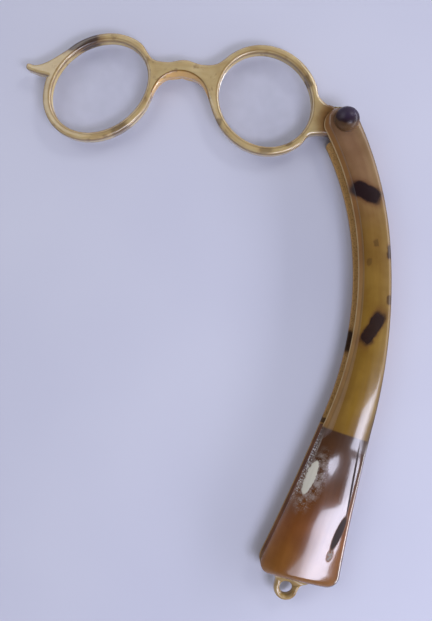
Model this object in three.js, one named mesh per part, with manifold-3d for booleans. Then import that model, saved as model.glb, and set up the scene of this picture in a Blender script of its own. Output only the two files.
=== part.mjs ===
// Folding lorgnette: a two-lens eyeglass frame that swings on one rivet
// into a slot cut in a long bowed handle.
// Millimetres, +Z up: the piece lies on its back with its front face up.
// Every piece is worked out around the rivet axis, and the whole is then moved
// so that the bottom centre of its box is the origin.
import * as THREE from 'three';
import { mergeVertices } from 'three/addons/utils/BufferGeometryUtils.js';
import Module from 'manifold-3d';

const wasm = await Module();
wasm.setup();

// Eyeglass frame
const LENS_SPACING = 60;
const LENS_LONG = 36.5;
const LENS_SHORT = 30.7;
const LENS_TILT = 42;
const LENS_RACK = 1.3;
const RIM_WIDTH = 3.1;
const FRAME_THICKNESS = 4.5;
const FRAME_ROUND = 0.8;
const FRAME_LEAN = 4.5;
const BRIDGE_RISE = 6.4;
const BRIDGE_DEPTH = 4.6;
const BRIDGE_BUMP = 1.2;
const ARCH_WIDTH = 17.8;
const ARCH_SHIFT = -0.7;
const SADDLE_CHAMFER = 1.5;
const TAB_LENGTH = 9;
const TAB_TIP = 1.7;

// Lug and hinge
const LUG_REACH = 29.3;
const LUG_DROP = 5.8;
const LUG_RADIUS = 5.2;
const RIVET_SHANK = 2.4;
const RIVET_HEAD = 4.4;
const RIVET_HEAD_DEPTH = 1;
const RIVET_PEEN = 0.7;
const BUSH_WALL = 0.6;
const WASHER_OUTER = 8;
const WASHER_GAUGE = 0.25;
const BURR_OUTER = 5;
const BURR_GAUGE = 0.6;
const KNOB_DIAMETER = 8.8;
const KNOB_HEIGHT = 4.6;
const KNOB_SEAT_DEPTH = 0.25;

// Lens edge and groove
const LENS_SEAT = 0.6;
const LENS_EDGE = 1.2;
const LENS_SAG = 0.7;

// Handle
const HEEL_LENGTH = 55.5;
const HEEL_SKEW = 5;
const BOW_RADIUS = 158;
const BOW_LENGTH = 108.5;
const BOW_LEAN = 20.7;
const TOP_HALF = 6.8;
const TOP_ROUND = 5.4;
const TOP_SHIFT = 2.2;
const TOP_SHIFT_LENGTH = 45;
const WAIST_HALF = 6.2;
const WAIST_AT = 50;
const HEEL_HALF = 15;
const HEEL_CORNER = 5;
const SPINE_WIDTH = 2;
const BACK_CHEEK = 1.9;
const BACK_ROUND = 0.7;
const FRONT_EDGE = 0.5;
const FRONT_CROWN = 1.6;
const HEEL_CROWN = 2.6;
const INNER_BEVEL = 1.5;
const HEEL_BEVEL = 3.2;
const OUTER_SHOULDER = 2.4;
const HEEL_SHOULDER = 4.5;
const SETBACK_TOP = 2.6;
const SETBACK_END = 1.2;
const SLOT_STEP = 2;
const BACK_NOTCH_AT = 6;
const BACK_NOTCH = 2.6;
const BACK_NOTCH_ROUND = 1.8;
const LOOP_HOLE = 4.4;
const LOOP_WALL = 2.3;
const LOOP_THICKNESS = 4;
const LOOP_DROP = 4.2;
const LOOP_OFFSET = -2.2;

// Clearances
const SLOT_CLEARANCE = 0.35;
const SLOT_END_CLEARANCE = 3.2;
const LUG_CLEARANCE = 2;
const GLUE_LINE = 0.05;
const RUNNING_FIT = 0.06;
const LENS_FIT = 0.25;

// Levels above the table
const slotFloor = BACK_CHEEK;
const slotRoof = slotFloor + FRAME_THICKNESS + 2 * SLOT_CLEARANCE;
const frameMiddle = (slotFloor + slotRoof) / 2;
const handleTop = slotRoof + FRONT_EDGE + FRONT_CROWN;
const knobSeat = handleTop - KNOB_SEAT_DEPTH;

// The slot takes the folded frame, measured from the rivet; the solid heel follows it
const slotLength = LUG_REACH + LENS_SPACING + (LENS_LONG + LENS_RACK) / 2 + RIM_WIDTH
  + SLOT_END_CLEARANCE;
const handleLength = slotLength + HEEL_LENGTH;

const rad = THREE.MathUtils.degToRad;

// Merge shared corners and drop triangles that have no area.
function weld(geometry) {
  const bare = geometry.clone();
  bare.deleteAttribute('normal');
  bare.deleteAttribute('uv');
  const merged = mergeVertices(bare, 1e-4);
  const index = merged.index.array;
  const kept = [];
  for (let i = 0; i < index.length; i += 3) {
    const [a, b, c] = [index[i], index[i + 1], index[i + 2]];
    if (a !== b && b !== c && c !== a) kept.push(a, b, c);
  }
  merged.setIndex(kept);
  return merged;
}

function toSolid(geometry) {
  const welded = weld(geometry);
  return new wasm.Manifold(new wasm.Mesh({
    numProp: 3,
    vertProperties: new Float32Array(welded.attributes.position.array),
    triVerts: new Uint32Array(welded.index.array),
  }));
}

function fromSolid(solid) {
  const mesh = solid.getMesh();
  const geometry = new THREE.BufferGeometry();
  geometry.setAttribute('position', new THREE.BufferAttribute(mesh.vertProperties, 3));
  geometry.setIndex(new THREE.BufferAttribute(mesh.triVerts, 1));
  return geometry;
}

function cut(body, ...tools) {
  const solid = tools.reduce((rest, tool) => rest.subtract(toSolid(tool)), toSolid(body));
  return fromSolid(solid);
}

// Skin over a row of closed sections that have equal point counts, with flat ends.
function loft(sections) {
  const count = sections[0].length;
  const positions = sections.flat().flatMap((point) => point.toArray());
  const index = [];
  for (let s = 0; s + 1 < sections.length; s += 1) {
    for (let i = 0; i < count; i += 1) {
      const a = s * count + i;
      const b = s * count + (i + 1) % count;
      index.push(a, b, b + count, a, b + count, a + count);
    }
  }
  const last = (sections.length - 1) * count;
  for (let i = 1; i + 1 < count; i += 1) {
    index.push(0, i + 1, i, last, last + i, last + i + 1);
  }
  const geometry = new THREE.BufferGeometry();
  geometry.setAttribute('position', new THREE.Float32BufferAttribute(positions, 3));
  geometry.setIndex(index);
  return geometry;
}

// Turned piece on the rivet axis: its outline is a list of [radius, height].
function turned(outline, segments = 24) {
  const points = outline.map(([radius, height]) => new THREE.Vector2(radius, height));
  return new THREE.LatheGeometry(points, segments).rotateX(Math.PI / 2);
}

function turnedRing(inner, outer, bottom, top) {
  return turned([[inner, bottom], [outer, bottom], [outer, top], [inner, top], [inner, bottom]]);
}

function drill(diameter, bottom, top) {
  return turned([[0, bottom], [diameter / 2, bottom], [diameter / 2, top], [0, top]]);
}

// Centre line of the handle: an arc from the rivet, then a straight tail.
function handleAxis(s) {
  const lean = rad(BOW_LEAN) - Math.min(s, BOW_LENGTH) / BOW_RADIUS;
  const tail = Math.max(s - BOW_LENGTH, 0);
  return {
    x: BOW_RADIUS * (Math.cos(lean) - Math.cos(rad(BOW_LEAN))) + tail * Math.sin(lean),
    y: BOW_RADIUS * (Math.sin(lean) - Math.sin(rad(BOW_LEAN))) - tail * Math.cos(lean),
    lean,
  };
}

// Half width along the centre line: a waist, a flared heel, a round top end, round heel corners.
function halfWidth(s) {
  const above = Math.max(WAIST_AT - s, 0) / WAIST_AT;
  const below = Math.max(s - WAIST_AT, 0) / (handleLength - WAIST_AT);
  const side = WAIST_HALF + (TOP_HALF - WAIST_HALF) * Math.min(above, 1) ** 2
    + (HEEL_HALF - WAIST_HALF) * below ** 2;
  if (s < 0) return TOP_HALF * Math.sqrt(1 - (s / TOP_ROUND) ** 2);
  const corner = s - (handleLength - HEEL_CORNER);
  if (corner <= 0) return side;
  return side - HEEL_CORNER + Math.sqrt(Math.max(HEEL_CORNER ** 2 - corner ** 2, 0));
}

// The top leans in over the lug, and the heel is cut a little askew.
function handlePoint(s, across, z) {
  const top = Math.min(Math.max(1 - s / TOP_SHIFT_LENGTH, 0), 1);
  const heel = Math.max(s - slotLength, 0) / HEEL_LENGTH;
  const along = s - across * Math.tan(rad(HEEL_SKEW)) * heel ** 2;
  const side = across - TOP_SHIFT * top ** 2;
  const axis = handleAxis(along);
  return new THREE.Vector3(
    axis.x + side * Math.cos(axis.lean),
    axis.y + side * Math.sin(axis.lean),
    z,
  );
}

// Skin along the handle: each station's outline starts at the inner edge and runs over the top.
function handleLoft(stations, outlineAt) {
  return loft(stations.map((s) => outlineAt(s)
    .map(([across, z]) => handlePoint(s, across, z)).reverse()));
}

function stepsBetween(start, end, count) {
  return Array.from({ length: count + 1 }, (_, i) => start + (end - start) * i / count);
}

// Stations of a whole cheek, closer together round the ends, the notch and the slot's end.
function cheekStations() {
  const top = stepsBetween(12, 80, 7).map((deg) => -TOP_ROUND * Math.cos(rad(deg)));
  const notch = stepsBetween(0, BACK_NOTCH_AT, 8);
  const slot = stepsBetween(BACK_NOTCH_AT + SLOT_STEP, slotLength - 2 * SLOT_STEP, 20);
  const end = stepsBetween(slotLength - SLOT_STEP, slotLength, 4);
  const body = [...notch, ...slot, ...end,
    ...stepsBetween(slotLength + 2 * SLOT_STEP, handleLength - HEEL_CORNER, 9)];
  const heel = stepsBetween(20, 90, 5)
    .map((deg) => handleLength - HEEL_CORNER * (1 - Math.sin(rad(deg))));
  return [...top, ...body, ...heel];
}

// The surface rolls down over the last stretch before either end.
function endRoll(s) {
  const toEnd = Math.min((s + TOP_ROUND) / OUTER_SHOULDER, (handleLength - s) / HEEL_SHOULDER);
  return toEnd >= 1 ? 1 : Math.sqrt(Math.max(1 - (1 - toEnd) ** 2, 0.04));
}

// Front plate's inner edge: full width over the heel, set back along the slot so that a nail can
// reach the folded rims.
function frontInner(s) {
  const half = halfWidth(s);
  const setback = SETBACK_TOP + (SETBACK_END - SETBACK_TOP) * s / slotLength;
  const slot = 1 - THREE.MathUtils.smoothstep(s, slotLength - SLOT_STEP, slotLength);
  return setback * slot * Math.min(half / WAIST_HALF, 1) - half;
}

// Back plate's inner edge: a rounded corner below the lug, narrower round the rivet.
function backInner(s) {
  const below = (BACK_NOTCH_AT - s) / BACK_NOTCH_ROUND;
  const notch = below <= 0 ? 0 : 1 - Math.sqrt(1 - Math.min(below, 1) ** 2);
  return halfWidth(s) * (BACK_NOTCH / TOP_HALF * notch - 1);
}

// Domed front plate: flat underneath, a bevel along the inner edge, a rounded outer shoulder.
function frontCheek() {
  const low = slotRoof + FRONT_EDGE;
  const plate = handleLoft(cheekStations(), (s) => {
    const half = halfWidth(s);
    const inner = frontInner(s);
    const squeeze = Math.min(half / WAIST_HALF, 1);
    const heel = THREE.MathUtils.smoothstep(s, slotLength, slotLength + HEEL_LENGTH / 2);
    const bevel = (INNER_BEVEL + (HEEL_BEVEL - INNER_BEVEL) * heel) * squeeze;
    const shoulder = (OUTER_SHOULDER + (HEEL_SHOULDER - OUTER_SHOULDER) * heel) * squeeze;
    const rise = endRoll(s) * (FRONT_CROWN + (HEEL_CROWN - FRONT_CROWN) * heel);
    const fall = 0.3 + 0.3 * heel;
    const crown = (across) => rise * (1 - fall * (across / half) ** 2);
    const dome = stepsBetween(inner + bevel, half - shoulder, 6)
      .map((across) => [across, low + crown(across)]);
    const round = [60, 30].map((deg) => [
      half - shoulder * (1 - Math.cos(rad(deg))),
      low + crown(half - shoulder) * Math.sin(rad(deg)),
    ]);
    return [[inner, slotRoof], [inner, low], ...dome, ...round, [half, low], [half, slotRoof]];
  });
  const seat = drill(KNOB_DIAMETER + 2 * RUNNING_FIT, knobSeat, knobSeat + KNOB_HEIGHT);
  const bore = drill(RIVET_SHANK + 2 * RUNNING_FIT, 0, handleTop + KNOB_HEIGHT);
  return cut(plate, seat, bore);
}

// Flat back plate with its lower edge rounded.
function backCheek() {
  const top = slotFloor - GLUE_LINE;
  const plate = handleLoft(cheekStations(), (s) => {
    const half = halfWidth(s);
    const inner = backInner(s);
    const round = BACK_ROUND * Math.min(half / WAIST_HALF, 1);
    return [
      [inner + round, 0], [inner + 0.3 * round, 0.3 * round], [inner, round], [inner, top],
      [half, top], [half, round], [half - 0.3 * round, 0.3 * round], [half - round, 0],
    ];
  });
  const bore = drill(RIVET_SHANK + 2 * RUNNING_FIT, -1, slotRoof);
  const wide = RIVET_HEAD / 2 + RUNNING_FIT;
  const narrow = RIVET_SHANK / 2 + RUNNING_FIT;
  const countersink = turned([[0, -1], [wide, -1], [wide, 0], [narrow, RIVET_HEAD_DEPTH + RUNNING_FIT],
    [0, RIVET_HEAD_DEPTH + RUNNING_FIT]]);
  return cut(plate, bore, countersink);
}

// Straight-sided layer between the cheeks, from one station to another.
function middleLayer(stations, inner) {
  const bottom = slotFloor + GLUE_LINE;
  const top = slotRoof - GLUE_LINE;
  return handleLoft(stations, (s) => {
    const half = halfWidth(s);
    return [[inner(half), bottom], [inner(half), top], [half, top], [half, bottom]];
  });
}

function spineStrip() {
  const stations = stepsBetween(LUG_RADIUS + LUG_CLEARANCE, slotLength - GLUE_LINE, 26);
  return middleLayer(stations, (half) => half - SPINE_WIDTH);
}

// Solid heel between the cheeks, with the hanging loop carved on its end.
function heelBlock() {
  const heel = stepsBetween(20, 90, 5)
    .map((deg) => handleLength - HEEL_CORNER * (1 - Math.sin(rad(deg))));
  const stations = [...stepsBetween(slotLength + GLUE_LINE, handleLength - HEEL_CORNER, 10), ...heel];
  const block = toSolid(middleLayer(stations, (half) => -half));
  const outer = LOOP_HOLE / 2 + LOOP_WALL;
  const centre = handlePoint(handleLength + LOOP_DROP, LOOP_OFFSET, frameMiddle);
  const round = 0.3 * LOOP_WALL;
  const half = LOOP_THICKNESS / 2;
  const ring = turned([
    [LOOP_HOLE / 2, round - half], [LOOP_HOLE / 2 + round, -half],
    [outer - round, -half], [outer, round - half],
    [outer, half - round], [outer - round, half],
    [LOOP_HOLE / 2 + round, half], [LOOP_HOLE / 2, half - round], [LOOP_HOLE / 2, round - half],
  ]);
  ring.translate(centre.x, centre.y, centre.z);
  const reach = 2 * outer;
  const flare = new THREE.Shape();
  flare.moveTo(-reach, LOOP_DROP);
  flare.lineTo(-reach, 0);
  flare.quadraticCurveTo(-1.1 * outer, 0, -outer, -LOOP_DROP);
  flare.lineTo(outer, -LOOP_DROP);
  flare.quadraticCurveTo(1.1 * outer, 0, reach, 0);
  flare.lineTo(reach, LOOP_DROP);
  const neck = new THREE.ExtrudeGeometry(flare, {
    depth: LOOP_THICKNESS - 2 * GLUE_LINE, bevelEnabled: false, curveSegments: 6,
  });
  neck.rotateZ(handleAxis(handleLength).lean + rad(HEEL_SKEW));
  const root = handlePoint(handleLength, LOOP_OFFSET, frameMiddle - half + GLUE_LINE);
  neck.translate(root.x, root.y, root.z);
  const hole = drill(LOOP_HOLE, -LOOP_THICKNESS, LOOP_THICKNESS);
  hole.translate(centre.x, centre.y, centre.z);
  return fromSolid(block.add(toSolid(neck)).subtract(toSolid(hole)).add(toSolid(ring)));
}

// Frame plan is drawn about the middle of the bridge, then hung on the rivet.
const lensAway = LENS_SPACING / 2;
const lugX = lensAway + LUG_REACH;

function hang(geometry) {
  geometry.translate(-lugX, LUG_DROP, frameMiddle);
  return geometry.rotateZ(-rad(FRAME_LEAN));
}

// Point of a lens oval grown by "grow", in the direction "deg" from the lens centre.
// The old frame is racked out of square: the far oval is drawn out and the near one is rounder.
function ovalPoint(side, deg, grow) {
  const long = (LENS_LONG - side * LENS_RACK) / 2 + grow;
  const short = (LENS_SHORT + side * LENS_RACK) / 2 + grow;
  const turn = rad(deg + side * LENS_TILT);
  const reach = long * short / Math.hypot(short * Math.cos(turn), long * Math.sin(turn));
  return new THREE.Vector2(
    side * lensAway + reach * Math.cos(rad(deg)),
    reach * Math.sin(rad(deg)),
  );
}

function rimStretch(side, start, end) {
  const count = Math.max(2, Math.round((end - start) / 12));
  return stepsBetween(start, end, count).map((deg) => ovalPoint(side, deg, RIM_WIDTH));
}

function mirrored(points) {
  return points.map((point) => new THREE.Vector2(-point.x, point.y)).reverse();
}

// Outer outline of the one-piece frame: rims, lug, bridge and finger tab as one smooth curve.
function frameOutline() {
  const aroundRivet = (deg, share) => new THREE.Vector2(
    lugX + share * LUG_RADIUS * Math.cos(rad(deg)),
    -LUG_DROP + share * LUG_RADIUS * Math.sin(rad(deg)),
  );
  const lug = stepsBetween(-95, 115, 9).map((deg) => aroundRivet(deg, 1));
  const nib = [aroundRivet(133, 1.52), aroundRivet(138, 1.68)];
  const halfBridge = [
    new THREE.Vector2(0.65 * ARCH_WIDTH, BRIDGE_RISE + BRIDGE_DEPTH + 0.7),
    new THREE.Vector2(0.35 * ARCH_WIDTH, BRIDGE_RISE + BRIDGE_DEPTH),
  ];
  const bump = new THREE.Vector2(0, BRIDGE_RISE + BRIDGE_DEPTH + BRIDGE_BUMP);
  const halfArch = [
    new THREE.Vector2(0.16 * ARCH_WIDTH, 0.94 * BRIDGE_RISE),
    new THREE.Vector2(0.36 * ARCH_WIDTH, 0.7 * BRIDGE_RISE),
    new THREE.Vector2(0.5 * ARCH_WIDTH, 0.22 * BRIDGE_RISE),
  ];
  const crown = new THREE.Vector2(0, BRIDGE_RISE);
  const arch = [...mirrored(halfArch), crown, ...halfArch];
  arch.forEach((point) => point.setX(point.x + ARCH_SHIFT));
  const root = ovalPoint(-1, 163, RIM_WIDTH);
  const tipX = root.x - TAB_LENGTH;
  const tab = [
    new THREE.Vector2(root.x - 0.25 * TAB_LENGTH, root.y + 1.1 * TAB_TIP),
    new THREE.Vector2(root.x - 0.65 * TAB_LENGTH, root.y + 0.4 * TAB_TIP),
    new THREE.Vector2(tipX + 0.2 * TAB_TIP, root.y + 0.6 * TAB_TIP),
    new THREE.Vector2(tipX, root.y - 0.45 * TAB_TIP),
    new THREE.Vector2(tipX + 0.4 * TAB_LENGTH, root.y - 1.3 * TAB_TIP),
    new THREE.Vector2(root.x - 0.1 * TAB_LENGTH, root.y - 1.8 * TAB_TIP),
  ];
  const key = [
    ...rimStretch(1, 200, 326), ...lug, ...nib, ...rimStretch(1, 8, 130),
    ...halfBridge, bump, ...mirrored(halfBridge),
    ...rimStretch(-1, 50, 136), ...tab, ...rimStretch(-1, 174, 340),
    ...arch,
  ];
  const points = key.map((point) => new THREE.Vector3(point.x, point.y, 0));
  const curve = new THREE.CatmullRomCurve3(points, true, 'centripetal');
  return curve.getSpacedPoints(190).slice(0, -1).map((point) => new THREE.Vector2(point.x, point.y));
}

// Stack of lens ovals at heights "z", each grown by "grow" and drawn in by "share".
function ovalStack(side, rings) {
  return loft(rings.map(({ z, grow, share = 1 }) => stepsBetween(0, 352, 44).map((deg) => {
    const point = ovalPoint(side, deg, grow);
    const centre = side * lensAway;
    return new THREE.Vector3(centre + share * (point.x - centre), share * point.y, z);
  })));
}

function eyeglassFrame() {
  const shape = new THREE.Shape(frameOutline());
  for (const side of [-1, 1]) {
    const hole = stepsBetween(0, 352, 44).map((deg) => ovalPoint(side, deg, 0)).reverse();
    shape.holes.push(new THREE.Path(hole));
  }
  const plate = new THREE.ExtrudeGeometry(shape, {
    depth: FRAME_THICKNESS - 2 * FRAME_ROUND,
    bevelThickness: FRAME_ROUND,
    bevelSize: FRAME_ROUND,
    bevelOffset: -FRAME_ROUND,
    bevelSegments: 2,
    steps: 1,
  });
  plate.translate(0, 0, FRAME_ROUND - FRAME_THICKNESS / 2);
  const groove = LENS_EDGE / 2 + LENS_FIT + LENS_SEAT;
  const grooves = [-1, 1].map((side) => ovalStack(side, [
    { z: -groove, grow: -LENS_FIT },
    { z: -LENS_EDGE / 4, grow: LENS_SEAT + LENS_FIT },
    { z: LENS_EDGE / 4, grow: LENS_SEAT + LENS_FIT },
    { z: groove, grow: -LENS_FIT },
  ]));
  const bore = drill(RIVET_SHANK + 2 * BUSH_WALL + 4 * RUNNING_FIT, -FRAME_THICKNESS, FRAME_THICKNESS);
  bore.translate(lugX, -LUG_DROP, 0);
  const archRadius = ARCH_WIDTH / 2;
  const saddle = turned([
    [0, 0], [archRadius - SADDLE_CHAMFER / 2, 0],
    [archRadius + 2.5 * SADDLE_CHAMFER, FRAME_THICKNESS], [0, FRAME_THICKNESS],
  ], 48);
  saddle.translate(ARCH_SHIFT, BRIDGE_RISE - archRadius, 0);
  return hang(cut(plate, ...grooves, bore, saddle));
}

function lens(side) {
  const face = [0.25, 0.5, 0.75, 1].map((share) => ({
    z: LENS_EDGE / 2 + LENS_SAG * (1 - share ** 2), grow: 0, share,
  }));
  const back = face.map((ring) => ({ ...ring, z: -ring.z }));
  const middle = { z: 0, grow: LENS_SEAT };
  return hang(ovalStack(side, [...back, middle, ...face.reverse()]));
}

function lugBush() {
  const inner = RIVET_SHANK / 2 + RUNNING_FIT;
  return turnedRing(inner, inner + BUSH_WALL, frameMiddle - FRAME_THICKNESS / 2,
    frameMiddle + FRAME_THICKNESS / 2);
}

// Thin washer held in the side gap between the lug and a cheek.
function frictionWasher(side) {
  const middle = frameMiddle + side * (FRAME_THICKNESS + SLOT_CLEARANCE) / 2;
  const inner = RIVET_SHANK / 2 + RUNNING_FIT;
  return turnedRing(inner, WASHER_OUTER / 2, middle - WASHER_GAUGE / 2, middle + WASHER_GAUGE / 2);
}

const burrTop = knobSeat + GLUE_LINE + BURR_GAUGE;

// Rivet with a flush cone head at the back and a peened dome on the burr in front.
function pivotRivet() {
  const shank = RIVET_SHANK / 2;
  const peen = burrTop + GLUE_LINE;
  const dome = [0, 30, 60].map((deg) => [
    0.8 * BURR_OUTER / 2 * Math.cos(rad(deg)), peen + RIVET_PEEN * Math.sin(rad(deg)),
  ]);
  return turned([[0, GLUE_LINE], [RIVET_HEAD / 2, GLUE_LINE], [shank, RIVET_HEAD_DEPTH],
    [shank, peen], ...dome, [0, peen + RIVET_PEEN]]);
}

function rivetBurr() {
  return turnedRing(RIVET_SHANK / 2 + RUNNING_FIT, BURR_OUTER / 2, knobSeat + GLUE_LINE, burrTop);
}

// Domed cap over the peened end, hollowed underneath to clear it.
function pivotKnob() {
  const base = knobSeat + GLUE_LINE;
  const outer = KNOB_DIAMETER / 2;
  const wall = 0.25 * KNOB_HEIGHT;
  const hollow = burrTop + RIVET_PEEN + 2 * RUNNING_FIT + 2 * GLUE_LINE;
  const dome = stepsBetween(0, 80, 8).map((deg) => [
    outer * Math.cos(rad(deg)), base + wall + (KNOB_HEIGHT - wall) * Math.sin(rad(deg)),
  ]);
  return turned([[0, hollow], [BURR_OUTER / 2 + RUNNING_FIT, hollow], [BURR_OUTER / 2 + RUNNING_FIT, base],
    [0.94 * outer, base], ...dome, [0, base + KNOB_HEIGHT]]);
}

function finish(color, roughness, metalness) {
  return new THREE.MeshStandardMaterial({ color, roughness, metalness });
}

const blondShell = finish('#c9a766', 0.25, 0);
const amberShell = finish('#7d5d2e', 0.25, 0);
const brownShell = finish('#5b3519', 0.25, 0);
const darkShell = finish('#33212a', 0.2, 0);
const glass = finish('#dfe6e6', 0.05, 0);
const brass = finish('#b3914a', 0.35, 1);

const pieces = [
  ['front_cheek', frontCheek(), amberShell],
  ['back_cheek', backCheek(), amberShell],
  ['spine_strip', spineStrip(), amberShell],
  ['heel_block', heelBlock(), brownShell],
  ['eyeglass_frame', eyeglassFrame(), blondShell],
  ['left_lens', lens(-1), glass],
  ['right_lens', lens(1), glass],
  ['lug_bush', lugBush(), brass],
  ['front_washer', frictionWasher(1), brass],
  ['back_washer', frictionWasher(-1), brass],
  ['pivot_rivet', pivotRivet(), brass],
  ['rivet_burr', rivetBurr(), brass],
  ['pivot_knob', pivotKnob(), darkShell],
];

const lorgnette = new THREE.Group();
lorgnette.name = 'lorgnette';
const box = new THREE.Box3();
for (const [name, geometry, material] of pieces) {
  const welded = weld(geometry);
  welded.computeBoundingBox();
  box.union(welded.boundingBox);
  const mesh = new THREE.Mesh(welded, material);
  mesh.name = name;
  lorgnette.add(mesh);
}
const middle = box.getCenter(new THREE.Vector3());
for (const mesh of lorgnette.children) {
  mesh.geometry.translate(-middle.x, -middle.y, -box.min.z);
  mesh.geometry.computeVertexNormals();
}

export default lorgnette;
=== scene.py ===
# %% [markdown]
# # A folding lorgnette in polished shell
# A lorgnette is a pair of eyeglasses held up on a handle. This one lies open on its back. The
# blond frame with its two oval lenses swings on one rivet, and folds away into a slot along the
# inside of the bowed handle. Frame and handle were sawn from translucent shell and polished.
#
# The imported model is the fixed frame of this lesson: it gives the place of the rivet and the
# levels of the plates, and every surface made here lies where its solid lies.

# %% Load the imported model
import math

import bmesh
import bpy
import numpy as np
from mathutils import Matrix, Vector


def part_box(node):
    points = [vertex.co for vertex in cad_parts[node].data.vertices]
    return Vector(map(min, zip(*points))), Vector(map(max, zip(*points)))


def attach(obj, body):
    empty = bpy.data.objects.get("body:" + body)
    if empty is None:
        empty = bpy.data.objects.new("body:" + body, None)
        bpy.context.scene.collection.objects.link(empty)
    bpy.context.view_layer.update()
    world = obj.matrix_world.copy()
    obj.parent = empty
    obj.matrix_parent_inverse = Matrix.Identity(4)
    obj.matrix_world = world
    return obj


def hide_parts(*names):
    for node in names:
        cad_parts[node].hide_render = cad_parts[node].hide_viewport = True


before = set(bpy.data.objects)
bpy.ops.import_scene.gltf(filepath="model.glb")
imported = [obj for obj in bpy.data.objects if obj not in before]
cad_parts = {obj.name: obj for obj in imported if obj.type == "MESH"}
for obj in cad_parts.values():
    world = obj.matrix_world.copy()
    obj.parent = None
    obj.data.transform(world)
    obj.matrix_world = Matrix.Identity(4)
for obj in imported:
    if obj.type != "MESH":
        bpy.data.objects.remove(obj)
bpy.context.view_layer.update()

MM = 0.001


def node_box(name):
    """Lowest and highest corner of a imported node, in millimetres."""
    return [np.array(corner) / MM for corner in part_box(name)]


rivet = sum(node_box("pivot_rivet")) / 2
print("rivet axis in mm:", rivet[:2].round(2))

# %% [markdown]
# ## Camera
# The photograph looks straight down from about a forearm's length above the table. A straight
# look down needs no turn at all: a new Blender camera already looks along -Z with +Y up. Its
# place is set from the rivet, which is easy to find in a photograph.

# %% Camera over the table
CAMERA_HEIGHT = 236.5
CAMERA_FROM_RIVET = np.array([-46.5, -67.9])
SENSOR_HEIGHT = 36.0
FOCAL_LENGTH = 37.04

camera_data = bpy.data.cameras.new("table_camera")
camera_data.sensor_fit = "VERTICAL"
camera_data.sensor_height = SENSOR_HEIGHT
camera_data.lens = FOCAL_LENGTH
camera = bpy.data.objects.new("table_camera", camera_data)
camera.location = (*(rivet[:2] + CAMERA_FROM_RIVET) * MM, CAMERA_HEIGHT * MM)
bpy.context.scene.collection.objects.link(camera)
bpy.context.scene.camera = camera
bpy.context.scene.view_settings.view_transform = "Standard"
print("camera at", [round(v / MM, 1) for v in camera.location], "mm")

# %% [markdown]
# ## Nodes and colours
# Materials are small graphs of nodes. One helper adds a node, sets its properties and either
# fills or links its sockets, so that a graph reads from top to bottom like a recipe. Colours are
# written as the hex codes that one would pick from a screen, and turned to linear light once.

# %% Node and colour helpers
def linear(code):
    """Linear RGBA of an sRGB hex code: a straight toe below 0.04, a power of 2.4 above it."""
    values = [int(code[i:i + 2], 16) / 255 for i in (1, 3, 5)]
    return (*[v / 12.92 if v <= 0.04045 else ((v + 0.055) / 1.055) ** 2.4 for v in values], 1.0)


def node(tree, kind, sockets=None, stops=None, **settings):
    """Add one node. "sockets" maps an input's name or number to a value or to an output that
    feeds it, "stops" maps places on a ramp to hex codes, and the rest are properties."""
    made = tree.nodes.new("ShaderNode" + kind)
    for name, value in settings.items():
        setattr(made, name, value)
    for key, value in (sockets or {}).items():
        if isinstance(value, bpy.types.NodeSocket):
            tree.links.new(value, made.inputs[key])
        else:
            made.inputs[key].default_value = value
    for number, (position, code) in enumerate((stops or {}).items()):
        ramp = made.color_ramp.elements
        stop = ramp[number] if number < 2 else ramp.new(position)
        stop.position = position
        stop.color = linear(code)
    return made


def new_material(name):
    """Empty node tree with its output node, ready for a surface."""
    material = bpy.data.materials.new(name)
    material.use_nodes = True
    tree = material.node_tree
    tree.nodes.clear()
    output = node(tree, "OutputMaterial")
    return material, tree, output


# %% [markdown]
# ## Stage
# The object lies on pale lilac paper. Matt paper scatters light evenly, so it takes soft shadows
# and shows no glint. Far from the object the sheet turns into a plain pale sweep, so that a low
# view, a polished face or a lens finds no dark horizon. The room has the same pale colour and dims
# overhead, so that flat polished faces keep their depth. A picture of a real room would do as
# well, but one colour is easier to set.

# %% Paper
PAPER_SIZE = 6000.0
PAPER_COLOURS = ("#bdbecc", "#c3c4d0")
PAPER_CLOUD = 90.0
SWEEP_COLOUR = "#c6c7d2"
SWEEP_START, SWEEP_END = 260.0, 650.0

paper_mesh = bpy.data.meshes.new("paper")
corner = PAPER_SIZE / 2 * MM
paper_mesh.from_pydata([(-corner, -corner, 0), (corner, -corner, 0), (corner, corner, 0),
                        (-corner, corner, 0)], [], [(0, 1, 2, 3)])
paper = bpy.data.objects.new("paper", paper_mesh)
bpy.context.scene.collection.objects.link(paper)
paper_material, tree, output = new_material("matt_lilac_paper")
spot = node(tree, "TexCoord").outputs["Object"]
cloud = node(tree, "TexNoise", {"Vector": spot, "Scale": 1 / (PAPER_CLOUD * MM), "Detail": 2.0})
tint = node(tree, "ValToRGB", {"Fac": cloud.outputs["Fac"]},
            stops={0.3: PAPER_COLOURS[0], 0.7: PAPER_COLOURS[1]})
surface = node(tree, "BsdfPrincipled", {"Base Color": tint.outputs["Color"], "Roughness": 0.75,
                                        "Specular IOR Level": 0.2})
# The sweep is only for what is looked at. The light that the sheet scatters stays that of paper.
rays = node(tree, "LightPath").outputs
seen = node(tree, "Math", {0: rays["Is Camera Ray"], 1: rays["Is Glossy Ray"]}, operation="MAXIMUM")
seen = node(tree, "Math", {0: seen.outputs[0], 1: rays["Is Transmission Ray"]}, operation="MAXIMUM")
reach = node(tree, "VectorMath", {0: spot}, operation="LENGTH").outputs["Value"]
sweep = node(tree, "MapRange", {"Value": reach, 1: SWEEP_START * MM, 2: SWEEP_END * MM,
                                4: seen.outputs[0]}, interpolation_type="SMOOTHSTEP")
distance = node(tree, "Emission", {"Color": linear(SWEEP_COLOUR)})
sheet = node(tree, "MixShader", {0: sweep.outputs[0], 1: surface.outputs[0], 2: distance.outputs[0]})
tree.links.new(sheet.outputs[0], output.inputs["Surface"])
paper_mesh.materials.append(paper_material)
print("paper", PAPER_SIZE, "mm wide, sweep from", SWEEP_START, "to", SWEEP_END, "mm")

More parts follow.
